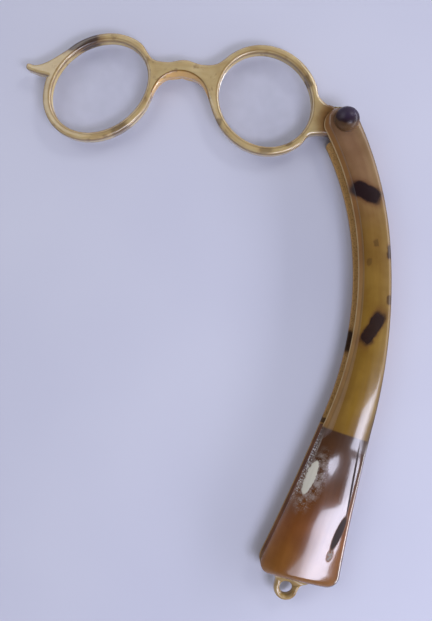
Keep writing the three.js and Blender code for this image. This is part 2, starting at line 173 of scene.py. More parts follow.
# %% Room
world = bpy.data.worlds.new("pale_room")
world.use_nodes = True
background = world.node_tree.nodes["Background"]
background.inputs["Color"].default_value = linear(SWEEP_COLOUR)
direction = node(world.node_tree, "TexCoord").outputs["Generated"]
upward = node(world.node_tree, "SeparateXYZ", {0: direction}).outputs["Z"]
overhead = node(world.node_tree, "Math", {0: upward, 1: upward}, operation="MULTIPLY")
walls = node(world.node_tree, "MapRange", {"Value": overhead.outputs[0], 3: 1.0, 4: 0.0})
world.node_tree.links.new(walls.outputs[0], background.inputs["Strength"])
bpy.context.scene.world = world
print("room", world.name, "in", SWEEP_COLOUR)

# %% [markdown]
# ## Lamps
# A low window at the right throws the handle's long soft shadow. Only the handle blocks it: the
# thin blond frame lets most of this light through. Softboxes hang flat overhead, so their edges
# run along X and Y, and it is easy to work out where their mirror images fall. The lower one and
# the right one make the long white reflection on the domed heel. The lower one is dimmer on its
# left and has a covered corner, which gives that reflection a soft, slanting side. The upper one
# makes the glints on the rims, and a wide one over the upper left fills the shadows. Lamps and room
# together light the paper at a level where it renders about as it is written.

# %% Lamps
FLAG_BLUR = 0.03
COOL_WHITE, WINDOW_WHITE = "#e4e7ff", "#f0f1ff"


def softbox(name, centre, size, tilt, watts_per_area, code="#ffffff", fade=None):
    """Softbox of a size at a place in mm. It shines down, or is tilted to shine towards -X too.
    Its strength is given per square metre, so that its mirror image keeps its brightness. "fade"
    is (start, end, level, slant, flag): across its width the cloth is only that bright before the
    start, and evens out to full brightness at the end. A black card, the flag, covers the corner
    where the share of the width, less slant times the share of the length, is below it."""
    lamp = bpy.data.lights.new(name, "AREA")
    lamp.color = linear(code)[:3]
    lamp.shape = "RECTANGLE"
    lamp.size, lamp.size_y = (side * MM for side in size)
    lamp.energy = watts_per_area * lamp.size * lamp.size_y
    if fade:
        lamp.use_nodes = True
        cloth = lamp.node_tree
        start, end, dim, slant, flag = fade
        spot = node(cloth, "NewGeometry").outputs["Parametric"]
        axes = node(cloth, "SeparateXYZ", {0: spot}).outputs
        level = node(cloth, "MapRange", {"Value": axes["X"], 1: start, 2: end, 3: dim, 4: 1.0})
        card = node(cloth, "Math", {0: axes["Y"], 1: -slant, 2: axes["X"]}, operation="MULTIPLY_ADD")
        bare = node(cloth, "MapRange", {"Value": card.outputs[0], 1: flag, 2: flag + FLAG_BLUR,
                                        4: level.outputs[0]})
        cloth.links.new(bare.outputs[0], cloth.nodes["Emission"].inputs["Strength"])
    box = bpy.data.objects.new(name, lamp)
    box.location = [value * MM for value in centre]
    box.rotation_euler = (0, math.radians(tilt), 0)
    bpy.context.scene.collection.objects.link(box)
    print("softbox", name, round(lamp.energy, 2), "W")
    return box


window = softbox("window", (950, -150, 240), (158, 2000), 75, 42, WINDOW_WHITE)
softbox("lower_softbox", (277, -350, 600), (525, 190), 0, 37, COOL_WHITE,
        fade=(0.13, 0.31, 0.24, 0.893, -0.653))
softbox("right_softbox", (400, -202, 600), (280, 104), 0, 28, COOL_WHITE)
softbox("upper_softbox", (480, 575, 600), (280, 290), 0, 20)
softbox("fill_softbox", (-650, 600, 750), (900, 900), 0, 4.9)
window_blockers = bpy.data.collections.new("window_blockers")
window.light_linking.blocker_collection = window_blockers

# %% [markdown]
# ## From arrays to a mesh
# Each new piece is a surface computed as a whole array of points: a grid of rows and columns,
# where a row is one cross-section and the rows follow the piece along its length. The helper
# below turns one or more grids into a single closed mesh. Where grids share an edge, or a row
# shrinks to a point, the merged points close the seam.
#
# Beside each point it keeps its "place" on the piece, such as the distance along the handle and
# the distance across it. Patterns that follow the piece read that instead of world space.

# %% Grid to mesh
MERGE_DISTANCE = 0.002
SHARP_ANGLE = math.radians(38)


def grid_faces(rows, columns, first):
    """Quads that join each point to the next one in its row and to the row after it. Each row is
    closed into a ring, and "first" is the number of the grid's first point."""
    index = first + np.arange(rows * columns).reshape(rows, columns)
    index = np.hstack([index, index[:, :1]])
    corners = [index[:-1, :-1], index[:-1, 1:], index[1:, 1:], index[1:, :-1]]
    return np.stack(corners, axis=-1).reshape(-1, 4)


def make_piece(name, sheets):
    """Closed mesh from sheets of (points in mm, places), merged, with faces turned out."""
    sizes = [points.shape[:2] for points, _ in sheets]
    firsts = np.cumsum([0] + [rows * columns for rows, columns in sizes])
    faces = [grid_faces(rows, columns, first) for (rows, columns), first in zip(sizes, firsts)]
    points = np.concatenate([sheet[0].reshape(-1, 3) for sheet in sheets]) * MM
    places = np.concatenate([sheet[1].reshape(-1, 3) for sheet in sheets])
    mesh = bpy.data.meshes.new(name)
    mesh.from_pydata(points.tolist(), [], np.concatenate(faces).tolist())
    attribute = mesh.attributes.new("place", "FLOAT_VECTOR", "POINT")
    attribute.data.foreach_set("vector", places.astype(np.float32).ravel())
    shell = bmesh.new()
    shell.from_mesh(mesh)
    bmesh.ops.remove_doubles(shell, verts=shell.verts, dist=MERGE_DISTANCE * MM)
    bmesh.ops.dissolve_degenerate(shell, edges=shell.edges, dist=MERGE_DISTANCE * MM / 4)
    bmesh.ops.recalc_face_normals(shell, faces=shell.faces)
    open_edges = sum(len(edge.link_faces) != 2 for edge in shell.edges)
    shell.to_mesh(mesh)
    shell.free()
    mesh.polygons.foreach_set("use_smooth", np.ones(len(mesh.polygons), bool))
    mesh.set_sharp_from_angle(angle=SHARP_ANGLE)
    piece = bpy.data.objects.new(name, mesh)
    bpy.context.scene.collection.objects.link(piece)
    print(name, len(mesh.polygons), "faces,", open_edges, "open edges")
    return piece


# %% [markdown]
# ## Carving and dressing
# A hole that crosses a finished surface, or a part that grows out of one, is easier to cut or join
# than to work into the grid. A Boolean does that, and the places of the new points are worked out
# again.

# %% Carve, dress and turn
NEAR_MARGIN = 0.05
TURNED_SEGMENTS = 72


def combine(piece, tool, operation, place_of):
    """Join a tool to a piece (UNION) or cut it away (DIFFERENCE), applied at once. Points that come
    from the tool lose their place on the way, so "place_of", a function of points in mm, gives it
    again to every point in the tool's box."""
    corners = np.array([list(corner) for corner in tool.bound_box]) / MM
    step = piece.modifiers.new("carve", "BOOLEAN")
    step.operation = operation
    step.solver = "EXACT"
    step.object = tool
    bpy.context.view_layer.update()
    graph = bpy.context.evaluated_depsgraph_get()
    carved = bpy.data.meshes.new_from_object(piece.evaluated_get(graph), depsgraph=graph,
                                             preserve_all_data_layers=True)
    piece.modifiers.clear()
    piece.data = carved
    bpy.data.objects.remove(tool)
    points = np.empty(3 * len(carved.vertices), np.float32)
    carved.vertices.foreach_get("co", points)
    points = points.reshape(-1, 3) / MM
    places = np.empty(points.size, np.float32)
    carved.attributes["place"].data.foreach_get("vector", places)
    places = places.reshape(-1, 3)
    near = (np.abs(points - corners.mean(axis=0)) < np.ptp(corners, axis=0) / 2 + NEAR_MARGIN).all(axis=1)
    places[near] = place_of(points[near])
    carved.attributes["place"].data.foreach_set("vector", places.ravel())
    print(piece.name, "carved,", np.count_nonzero(near), "points near the tool")


def dress(piece, material, slot, body, *nodes):
    """Give a piece its material, hang it on the empty of the body that carries it, and hide the
    solids that it stands for. The handle's pieces also block the window."""
    piece.data.materials.clear()
    piece.data.materials.append(material)
    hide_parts(*nodes)
    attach(piece, body)
    if body == "handle":
        window_blockers.objects.link(piece)


def turned_grid(outline, centre):
    """Turned surface: each (radius, height) of the outline is carried round an upright axis."""
    radius, height = np.array(outline, float).T
    angle = np.linspace(0, 2 * np.pi, TURNED_SEGMENTS, endpoint=False)
    x = centre[0] + radius[:, None] * np.cos(angle)
    y = centre[1] + radius[:, None] * np.sin(angle)
    points = np.stack([x, y, np.broadcast_to(height[:, None], x.shape)], axis=-1)
    return points, points - [*centre[:2], 0]


# %% [markdown]
# ## Polished shell
# Shell is warm and translucent: light enters it, spreads a little and comes out tinted, while
# the polished skin mirrors the lamps. A Principled shader with some subsurface scattering, the
# refractive index of horn and a low, slightly uneven roughness gives both, and a thin coat stands
# for the wax of the last polish. Real refraction would also work, but it needs far more samples
# for so small a gain.
#
# The colour has three layers: a clouded ground, long faint streaks from the growth of the plate,
# and the dark blotches that make the pattern. Each blotch is an oval with a ragged, soft edge.

# %% Soft ovals and blotches
RAGGED_SIZE, RAGGED_DEPTH = 2.4, 1.5
# Squared shares of the way out where a blotch begins and where it is full, and its cover there.
BLOTCH_HALO, BLOTCH_CORE = (2.2, 0.9, 0.45), (1.25, 0.6, 0.97)
HALO_CODE = "#5a3420"
THROUGH = 1000.0


def oval_reach(tree, place, oval, squared=False):
    """How far out a place lies from the middle of an oval (x, y, half length, half width, turn in
    degrees), with 1 at its edge. With "squared" it is the square of that, and the edge is a
    superellipse: the fourth powers of both shares of the way out add up to one. The oval goes
    through the whole thickness."""
    x, y, length, width, turn = oval
    share = node(tree, "Mapping", {
        "Vector": place, "Location": (x, y, 0), "Rotation": (0, 0, math.radians(turn)),
        "Scale": (length, width, THROUGH)}, vector_type="TEXTURE").outputs[0]
    if squared:
        share = node(tree, "VectorMath", {0: share, 1: share}, operation="MULTIPLY").outputs[0]
    return node(tree, "VectorMath", {0: share}, operation="LENGTH").outputs["Value"]


def oval_mask(tree, place, oval, start, end):
    """0 outside an oval and 1 inside, soft between two shares of the way out."""
    reach = oval_reach(tree, place, oval)
    return node(tree, "MapRange", {"Value": reach, 1: start, 2: end},
                interpolation_type="SMOOTHSTEP").outputs[0]


def with_blotches(tree, place, colour, blotches, blotch_code):
    """Lay blotches over a colour. A blotch is (place x, place y, half length, half width, turn in
    degrees, strength), in mm: a superellipse torn by noise, with a red-brown halo."""
    ragged = node(tree, "TexNoise", {"Vector": place, "Scale": 1 / RAGGED_SIZE, "Detail": 3.0})
    shift = node(tree, "VectorMath", {0: ragged.outputs["Color"], 1: (0.5, 0.5, 0.5)},
                 operation="SUBTRACT")
    shift = node(tree, "VectorMath", {0: shift.outputs[0], "Scale": RAGGED_DEPTH}, operation="SCALE")
    torn = node(tree, "VectorMath", {0: place, 1: shift.outputs[0]}, operation="ADD").outputs[0]
    for *oval, strength in blotches:
        reach = oval_reach(tree, torn, oval, squared=True)
        for (start, end, amount), code in ((BLOTCH_HALO, HALO_CODE), (BLOTCH_CORE, blotch_code)):
            mask = node(tree, "MapRange", {"Value": reach, 1: start, 2: end, 4: amount * strength},
                        interpolation_type="SMOOTHSTEP")
            colour = node(tree, "Mix", {0: mask.outputs[0], 6: colour, 7: linear(code)},
                          data_type="RGBA").outputs[2]
    return colour


print("a blotch's halo ends at", round(math.sqrt(BLOTCH_HALO[0]), 2), "times its size")

# %% Shell material
SHELL_IOR = 1.55
WAX_IOR = 1.45
CLOUD_SIZE = 9.0
STREAK_SIZE, STREAK_STRENGTH = (16.0, 1.3, 10 / 3), 0.3
# Real scratches and specks are finer: these are as coarse as they need to be to show.
SCRATCH_SIZE, SCRATCH_SPREAD = (20.0, 0.45, 5.0), 0.08
SPECK_SIZE = 0.5
MATT_ROUGHNESS = 0.85


def polished_shell(name, ground, blotches, blotch_code="#1d1014", gloss=0.08, glow=0.15, wax=1.0,
                   depth=1.0, shine=0.5, worn=None):
    """Shell whose ground colour comes from "ground", a function of (tree, place), under faint
    streaks and the blotches. "worn" is a function of (tree, place) that lists masks of places where
    the polish has gone, was never put on, or is left off under a painted dark reflection."""
    material, tree, output = new_material(name)
    place = node(tree, "Attribute", attribute_name="place").outputs["Vector"]
    colour = ground(tree, place)
    long_place = node(tree, "Mapping", {"Vector": place, "Scale": STREAK_SIZE}, vector_type="TEXTURE")
    streak = node(tree, "TexNoise", {"Vector": long_place.outputs[0], "Scale": 1.0, "Detail": 3.0})
    shade = node(tree, "ValToRGB", {"Fac": streak.outputs["Fac"]}, stops={0.3: "#d8d0c4", 0.62: "#ffffff"})
    colour = node(tree, "Mix", {0: STREAK_STRENGTH, 6: colour, 7: shade.outputs["Color"]},
                  data_type="RGBA", blend_type="MULTIPLY").outputs[2]
    colour = with_blotches(tree, place, colour, blotches, blotch_code)
    fine_place = node(tree, "Mapping", {"Vector": place, "Scale": SCRATCH_SIZE}, vector_type="TEXTURE")
    scratch = node(tree, "TexNoise", {"Vector": fine_place.outputs[0], "Scale": 1.0, "Detail": 4.0})
    rough = node(tree, "MapRange", {"Value": scratch.outputs["Fac"], 1: 0.3, 2: 0.7, 3: gloss,
                                    4: gloss + SCRATCH_SPREAD}).outputs[0]
    polish = wax
    for matt in worn(tree, place) if worn else []:
        rough = node(tree, "MapRange", {"Value": matt, 3: rough, 4: MATT_ROUGHNESS}).outputs[0]
        polish = node(tree, "MapRange", {"Value": matt, 3: polish, 4: 0.0}).outputs[0]
    bump = node(tree, "Bump", {"Height": scratch.outputs["Fac"], "Strength": 0.06, "Distance": 0.05 * MM})
    surface = node(tree, "BsdfPrincipled", {
        "Base Color": colour, "Roughness": rough, "IOR": SHELL_IOR, "Specular IOR Level": shine,
        "Normal": bump.outputs[0], "Subsurface Weight": glow, "Subsurface Radius": (1.0, 0.7, 0.4),
        "Subsurface Scale": depth * MM, "Coat Weight": polish, "Coat IOR": WAX_IOR,
        "Coat Roughness": gloss / 2, "Coat Normal": bump.outputs[0]})
    tree.links.new(surface.outputs["BSDF"], output.inputs["Surface"])
    return material


# %% [markdown]
# ## The bowed handle
# The handle is a sandwich of two plates with a narrow spine between them along the outer edge and
# a solid block in the heel. The slot between the plates takes the folded frame. All four layers
# follow one centre line: an arc from the rivet, then a straight tail. So the lesson first writes
# that line and the half width along it as functions, and then each layer is a section, a list of
# (across, height), carried along the line.

# %% Centre line and width of the handle
BOW_RADIUS = 158.0
BOW_LENGTH = 108.5
BOW_LEAN = math.radians(20.7)
SLOT_LENGTH = 114.5
HEEL_LENGTH = 55.5
HEEL_SKEW = math.tan(math.radians(5))
TOP_HALF, TOP_ROUND = 6.8, 5.4
TOP_SHIFT, TOP_SHIFT_LENGTH = 2.2, 45.0
WAIST_HALF, WAIST_AT = 6.2, 50.0
HEEL_HALF, HEEL_CORNER = 15.0, 5.0
EDGE_EASE = 0.02
HANDLE_LENGTH = SLOT_LENGTH + HEEL_LENGTH


def smoothstep(value, start, end):
    """0 before start, 1 after end, and a soft S between them: t * t * (3 - 2t)."""
    t = np.clip((value - start) / (end - start), 0, 1)
    return t * t * (3 - 2 * t)


def handle_axis(along):
    """Arc of BOW_RADIUS that starts leaning by BOW_LEAN, then a straight tail along its tangent."""
    lean = BOW_LEAN - np.minimum(along, BOW_LENGTH) / BOW_RADIUS
    tail = np.maximum(along - BOW_LENGTH, 0)
    x = BOW_RADIUS * (np.cos(lean) - math.cos(BOW_LEAN)) + tail * np.sin(lean)
    y = BOW_RADIUS * (np.sin(lean) - math.sin(BOW_LEAN)) - tail * np.cos(lean)
    return x, y, lean


def half_width(along):
    """A waist that widens with the square of the distance from it, an elliptical top end and
    quarter-round corners at the heel, all eased by a hair with fine paper."""
    above = np.clip((WAIST_AT - along) / WAIST_AT, 0, 1)
    below = np.clip((along - WAIST_AT) / (HANDLE_LENGTH - WAIST_AT), 0, 1)
    side = WAIST_HALF + (TOP_HALF - WAIST_HALF) * above ** 2 + (HEEL_HALF - WAIST_HALF) * below ** 2
    top = TOP_HALF * np.sqrt(np.clip(1 - (np.minimum(along, 0) / TOP_ROUND) ** 2, 0, 1))
    corner = np.clip(along - (HANDLE_LENGTH - HEEL_CORNER), 0, HEEL_CORNER)
    side = side - HEEL_CORNER + np.sqrt(HEEL_CORNER ** 2 - corner ** 2)
    return np.maximum(np.where(along < 0, top, side) - EDGE_EASE, 0)


def on_handle(along, across, height):
    """World point of (along, across, height): the top leans in over the lug, the heel is skewed."""
    top = np.clip(1 - along / TOP_SHIFT_LENGTH, 0, 1)
    heel = np.maximum(along - SLOT_LENGTH, 0) / HEEL_LENGTH
    x, y, lean = handle_axis(along - across * HEEL_SKEW * heel ** 2)
    side = across - TOP_SHIFT * top ** 2
    x = rivet[0] + x + side * np.cos(lean)
    y = rivet[1] + y + side * np.sin(lean)
    return np.stack([x, y, height], axis=-1)


# %% Sections along the handle
TOP_STEPS, BODY_STEPS, HEEL_STEPS = 24, 230, 16


def rounded(corners, radius, steps=5):
    """Round the corners of closed sections: a curve leaves the edge "radius" before the corner,
    is pulled towards it and joins the next edge "radius" after it (a quadratic Bezier)."""
    before = np.roll(corners, 1, axis=1) - corners
    after = np.roll(corners, -1, axis=1) - corners
    reach = [np.minimum(radius, 0.5 * np.linalg.norm(edge, axis=-1)) for edge in (before, after)]
    ends = [corners + edge * (far / np.maximum(np.linalg.norm(edge, axis=-1), 1e-9))[..., None]
            for edge, far in zip((before, after), reach)]
    t = np.linspace(0, 1, steps)[:, None]
    curve = ((1 - t) ** 2 * ends[0][:, :, None] + 2 * t * (1 - t) * corners[:, :, None]
             + t ** 2 * ends[1][:, :, None])
    return curve.reshape(len(corners), -1, 2)


def along_handle(along, sections):
    """Sheet of sections (across, height) carried along the handle, closed at both ends by rows
    that shrink to the middle of the end section."""
    middle = sections.mean(axis=1, keepdims=True)
    sections = np.concatenate([np.broadcast_to(middle[:1], sections[:1].shape), sections,
                               np.broadcast_to(middle[-1:], sections[-1:].shape)])
    along = np.concatenate([along[:1], along, along[-1:]])[:, None]
    across, height = sections[..., 0], sections[..., 1]
    along = np.broadcast_to(along, across.shape)
    return on_handle(along, across, height), np.stack([along, across, height], axis=-1)


def section(along, *corners):
    """Stack corner columns (across, height) into an array of sections, one row per station."""
    columns = [np.broadcast_to(value, along.shape) for corner in corners for value in corner]
    return np.stack(columns, axis=-1).reshape(len(along), -1, 2)


top_stations = -TOP_ROUND * np.cos(np.linspace(0, np.pi / 2, TOP_STEPS))
body_stations = np.linspace(0, HANDLE_LENGTH - HEEL_CORNER, BODY_STEPS)
heel_stations = HANDLE_LENGTH - HEEL_CORNER * (1 - np.sin(np.linspace(0, np.pi / 2, HEEL_STEPS)))
plate_stations = np.concatenate([top_stations[:-1], body_stations, heel_stations[1:]])
print("handle", HANDLE_LENGTH, "mm long,", len(plate_stations), "stations")

# %% [markdown]
# ## Front plate
# The front plate is the one that is seen. It was pressed into a low dome, higher over the heel,
# with a bevel along the slot and a rounded outer shoulder. Beside the slot it is set back, most near
# the hinge, so that a nail can reach the folded rims. The heel was finished by hand, so its dome
# has shallow waves, is fuller in one stretch, and has a blister where the plate lifted and wore
# through. They bend the reflection of the softboxes, which is how the eye reads a hand-made surface.
#
# It could be a box that a Curve modifier bends, with bevels on top. Sections that are written as a
# formula give the changing dome, bevel and flare in one go, and no bevel folds over at the ends.

# %% Inner edge and hand finish
SETBACK_TOP, SETBACK_END = 1.0, 0.1
SLOT_STEP = 2.0
BLISTER_PLACE, BLISTER_SIZE, BLISTER_RISE = (126.5, -5.0), (5.5, 2.8), 0.66
WAVE_LENGTH, WAVE_DEPTH, WAVE_SLANT, HAND_FADE = 21.0, 0.06, 0.6, 8.0


def front_inner(along):
    """Inner edge of the front plate: the half width, less the setback beside the slot."""
    half = half_width(along)
    setback = SETBACK_TOP + (SETBACK_END - SETBACK_TOP) * along / SLOT_LENGTH
    slot = 1 - smoothstep(along, SLOT_LENGTH - SLOT_STEP, SLOT_LENGTH)
    return setback * slot * np.minimum(half / WAIST_HALF, 1) - half


def hand_finish(along, across):
    """Rise of the blister, a bell curve exp(-(a squared + b squared) / 2), less the depth of the
    hand-made waves, a sine along a slanted line. Both fade in over the heel."""
    wave = 0.5 + 0.5 * np.sin(2 * np.pi * (along + WAVE_SLANT * across) / WAVE_LENGTH)
    a = (along - BLISTER_PLACE[0]) / BLISTER_SIZE[0]
    b = (across - BLISTER_PLACE[1]) / BLISTER_SIZE[1]
    heel = smoothstep(along, SLOT_LENGTH, SLOT_LENGTH + HAND_FADE)
    return heel * (BLISTER_RISE * np.exp(-(a ** 2 + b ** 2) / 2) - WAVE_DEPTH * wave)


print("inner edge at the waist:", front_inner(np.array([WAIST_AT])).round(2), "mm across")

# %% Front plate shape
FRONT_EDGE, FRONT_CROWN, HEEL_CROWN = 0.5, 1.6, 2.6
TOP_BEVEL, SLOT_BEVEL, HEEL_BEVEL, HEEL_SIDE = 1.9, 1.2, 0.8, 5.5
OUTER_SHOULDER, HEEL_SHOULDER, END_ROLL = 2.0, 4.5, 2.4
DOME_POINTS = 12
LIP_ROUND, INNER_ROUND, HEEL_ROUND, LARGE_ROUND = 0.15, 0.8, 2.2, 9.0
DOME_FALL, HEEL_FALL, LOWEST_ROLL = 0.3, 0.6, 0.2
# Least half width and shoulder to divide by, where the plate narrows to nothing.
LEAST_HALF, LEAST_SHOULDER = 0.1, 0.01
OVAL_START, OVAL_END = SLOT_LENGTH - 30, SLOT_LENGTH + 5
FULL_START, FULL_END, FULL_POWER = (118, 124), (130, 168), 3.2
front_bottom = node_box("front_cheek")[0][2]


def front_sections(along):
    """Lip, bevel, and a dome that falls with the square of the distance across. On the outer side a
    quarter ellipse makes the shoulder, and over the heel one ellipse runs from crown to edge, with
    a power above two where it is fuller. There the inner side is a quarter ellipse too, in place of
    the bevel. At both ends the height follows a quarter circle."""
    half, inner = half_width(along), front_inner(along)
    wide = np.maximum(half, LEAST_HALF)
    low = front_bottom + FRONT_EDGE
    squeeze = np.minimum(half / WAIST_HALF, 1)
    half_heel = SLOT_LENGTH + HEEL_LENGTH / 2
    heel = smoothstep(along, SLOT_LENGTH, half_heel)
    full = smoothstep(along, OVAL_START, OVAL_END)
    bevel = np.interp(along, [0, SLOT_LENGTH, half_heel], [TOP_BEVEL, SLOT_BEVEL, HEEL_BEVEL]) * squeeze
    shoulder = (OUTER_SHOULDER + (HEEL_SHOULDER - OUTER_SHOULDER) * heel) * squeeze
    heel_side = HEEL_SIDE * heel * squeeze
    to_end = np.minimum((along + TOP_ROUND) / OUTER_SHOULDER, (HANDLE_LENGTH - along) / END_ROLL)
    roll = np.sqrt(np.maximum(1 - (1 - np.clip(to_end, 0, 1)) ** 2, LOWEST_ROLL ** 2))
    rise = roll * (FRONT_CROWN + (HEEL_CROWN - FRONT_CROWN) * heel)
    fall = DOME_FALL + (HEEL_FALL - DOME_FALL) * heel
    power = 2 + (FULL_POWER - 2) * smoothstep(along, *FULL_START) * (1 - smoothstep(along, *FULL_END))

    def surface(across):
        level = np.clip(across, inner + heel_side, half - shoulder)
        dome = 1 - fall * (np.minimum(across, level) / wide) ** 2
        reach = np.maximum(np.where(across > 0, shoulder, heel_side), LEAST_SHOULDER)
        past = np.clip((across - level) / reach, -1, 1)
        plain = dome * np.sqrt(1 - past ** 2)
        ellipse = np.clip(1 - np.clip(across / wide, 0, 1) ** power, 0, 1) ** (1 / power)
        share = np.where(across > 0, plain + (ellipse - plain) * full, plain)
        return across, low + rise * share + roll * hand_finish(along, across)

    start = inner + bevel
    left = [surface(start * share) for share in np.linspace(1, 0, DOME_POINTS)]
    right = [surface(half * math.sin(turn)) for turn in np.linspace(0, math.pi / 2, DOME_POINTS)[1:]]
    corners = section(along, (inner, front_bottom), (inner, low), *left, *right, (half, front_bottom))
    radius = np.full(corners.shape[:2], LARGE_ROUND)
    radius[:, [0, -1]] = LIP_ROUND
    radius[:, 1] = LIP_ROUND + (HEEL_ROUND - LIP_ROUND) * heel
    radius[:, 2] = INNER_ROUND + (HEEL_ROUND - INNER_ROUND) * heel
    return rounded(corners, radius * squeeze[:, None])


front_plate = make_piece("front_plate", [along_handle(plate_stations, front_sections(plate_stations))])

# %% [markdown]
# ## Finish of the front plate
# Both are painted into the colour: honey as painted light, red-brown as painted shade.
# Over the slot light comes up through the plate, and it looks honey coloured. Over the solid heel
# nothing shines through, and the same shell looks red-brown, with a crisp line between the two.
#
# The polish is not the same everywhere. The bevel was filed and the outer edge never buffed, so both
# are matt and show no reflection. On the heel the plate has worn through to a pale patch with rough
# speckles round it, and the pale specks on its worn left edge are painted glints. Near the heel's
# outer edge a dark reflection is painted as a dark streak, and left matt so that no lamp shows over
# it. A pale strip on the inner lip is a painted highlight. Each of these is a soft mask drawn by its
# place on the plate, for the colour, the polish or both. An image painted by hand would do too, but a
# mask needs no unwrapping and stays sharp at any distance.

# %% Marks on the front plate
HONEY_STOPS = {0.0: "#82634a", 0.14: "#866748", 0.24: "#836430", 0.45: "#876826", 0.68: "#856520"}
BEVEL_STOPS = {0.0: "#845a24", 0.25: "#8b6028", 0.4: "#98733e", 0.66: "#8c6836"}
HEEL_STOPS = {0.0: "#48301f", 0.3: "#57361d", 0.65: "#79471d", 1.0: "#84561f"}
FRONT_BLOTCHES = [(26.7, 0.0, 5.8, 3.1, 52, 1.0), (75.6, 0.2, 6.6, 2.5, -25, 0.95),
                  (45.1, 0.8, 1.3, 0.9, 0, 0.35), (51.8, -2.1, 1.3, 0.9, 0, 0.3),
                  (48.6, 5.6, 2.4, 1.0, 0, 0.8), (65.2, 5.4, 1.6, 0.8, 0, 0.6)]
# A dark reflection on the heel, painted as a dark streak where the shell mirrors something dark.
PAINTED_DARK_REFLECTION = [(129.8, 7.4, 14.5, 0.4, 7.6), (149.0, 8.4, 7.5, 1.5, -6)]
WORN_PATCH = (133.4, -6.9, 6.8, 1.7, -4)
WORN_FIELD = (134.0, -6.5, 13.0, 5.0, -6)
# Pale specks along the heel's worn left edge are painted glints.
WORN_EDGE_GLINTS = (129.0, -10.0, 15.0, 1.3, -5)
WORN_SPOT = (157.5, 7.9, 2.6, 1.3, 0)
BLUR_SIZE, TATTER_SIZE, TATTER_DEPTH = 2.2, 10 / 9, 1.1
# Heights over the plate's foot where a strip along an edge ends and where it is full.
BEVEL_TONE, LIP_HIGHLIGHT, RIM_TONE = (1.75, 1.55), (0.8, 0.6), (1.7, 0.9)
BEVEL_WEAR, OUTER_WEAR, WEAR_FADE = (1.95, 1.75), (1.8, 1.5), 6.0
HEEL_LINE_START, HEEL_LINE_END = SLOT_LENGTH - 0.15, SLOT_LENGTH + 0.35


def strip_mask(tree, place, side, levels):
    """1 low down along the outer (1) or inner (-1) edge of the front plate, fading to 0 between the
    two levels over its foot."""
    top, below = levels
    axes = node(tree, "SeparateXYZ", {0: place}).outputs
    half = node(tree, "MapRange", {"Value": axes["Y"], 1: 0.5 * side, 2: 1.5 * side}).outputs[0]
    return node(tree, "MapRange", {"Value": axes["Z"], 1: front_bottom + top, 2: front_bottom + below,
                                   4: half}).outputs[0]


def front_matt_places(tree, place):
    """Filed bevel, unbuffed outer edge, the worn patch and spot, and the place of the painted dark
    reflection on the heel, left matt.
    """
    along = node(tree, "SeparateXYZ", {0: place}).outputs["X"]
    strips = []
    for side, levels in ((-1, BEVEL_WEAR), (1, OUTER_WEAR)):
        strip = strip_mask(tree, place, side, levels)
        fading = node(tree, "MapRange", {
            "Value": along, 1: SLOT_LENGTH, 2: SLOT_LENGTH + WEAR_FADE, 3: strip, 4: 0.0})
        strips.append(fading.outputs[0])
    ovals = [oval_mask(tree, place, oval, 1.1, 0.8) for oval in (WORN_PATCH, WORN_SPOT, *PAINTED_DARK_REFLECTION)]
    return [*strips, *ovals]


def heel_marks(tree, place):
    """Layers of (mask, colour code) on the heel: a painted dark reflection near the outer edge, rough
    speckles in the worn places with painted glints on the worn left edge, and the ragged pale patch."""
    layers = [(oval_mask(tree, place, oval, 1.05, 0.7), "#2a1b17") for oval in PAINTED_DARK_REFLECTION]
    speck = node(tree, "TexNoise", {"Vector": place, "Scale": 1 / SPECK_SIZE, "Detail": 2.0}).outputs["Fac"]
    blur = node(tree, "TexNoise", {"Vector": place, "Scale": 1 / BLUR_SIZE, "Detail": 4.0}).outputs["Fac"]
    for oval, grain, low, high, code in (
            (WORN_FIELD, blur, 0.42, 0.78, "#a59c94"), (WORN_FIELD, speck, 0.58, 0.68, "#8f877c"),
            (WORN_EDGE_GLINTS, speck, 0.54, 0.62, "#c9c4bb"), (WORN_SPOT, speck, 0.35, 0.5, "#8d8580")):
        field = oval_mask(tree, place, oval, 1.1, 0.5)
        dots = node(tree, "MapRange", {"Value": grain, 1: low, 2: high, 4: field})
        layers.append((dots.outputs[0], code))
    tatter = node(tree, "TexNoise", {"Vector": place, "Scale": 1 / TATTER_SIZE, "Detail": 4.0})
    jitter = node(tree, "VectorMath", {0: tatter.outputs["Color"], 1: (TATTER_DEPTH, TATTER_DEPTH, 0.0),
                                       2: place}, operation="MULTIPLY_ADD").outputs[0]
    layers.append((oval_mask(tree, jitter, WORN_PATCH, 1.0, 0.88), "#c3bfae"))
    return layers


# %% Front plate finish
def honey_along_slot(tree, place):
    """Honey ground that deepens towards the slot and pales towards the outer edge, with a tone of
    its own on the bevel and a painted highlight on the lip below it."""
    axes = node(tree, "SeparateXYZ", {0: place}).outputs
    share = node(tree, "Math", {0: axes["X"], 1: HANDLE_LENGTH}, operation="DIVIDE").outputs[0]
    colour, bevel = (node(tree, "ValToRGB", {"Fac": share}, stops=stops).outputs["Color"]
                     for stops in (HONEY_STOPS, BEVEL_STOPS))
    deep = node(tree, "MapRange", {"Value": axes["Y"], 1: -5.5, 2: -1.0, 3: 0.6, 4: 0.0},
                interpolation_type="SMOOTHSTEP").outputs[0]
    pale = node(tree, "MapRange", {"Value": axes["Y"], 1: 1.0, 2: 7.0, 4: 0.45},
                interpolation_type="SMOOTHSTEP").outputs[0]
    # The pale strip on the lip is a painted highlight: the light that its edge catches.
    for mask, tone in ((deep, linear("#684a26")), (pale, linear("#9a8355")),
                       (strip_mask(tree, place, -1, BEVEL_TONE), bevel),
                       (strip_mask(tree, place, -1, LIP_HIGHLIGHT), linear("#b39a70"))):
        colour = node(tree, "Mix", {0: mask, 6: colour, 7: tone}, data_type="RGBA").outputs[2]
    return colour


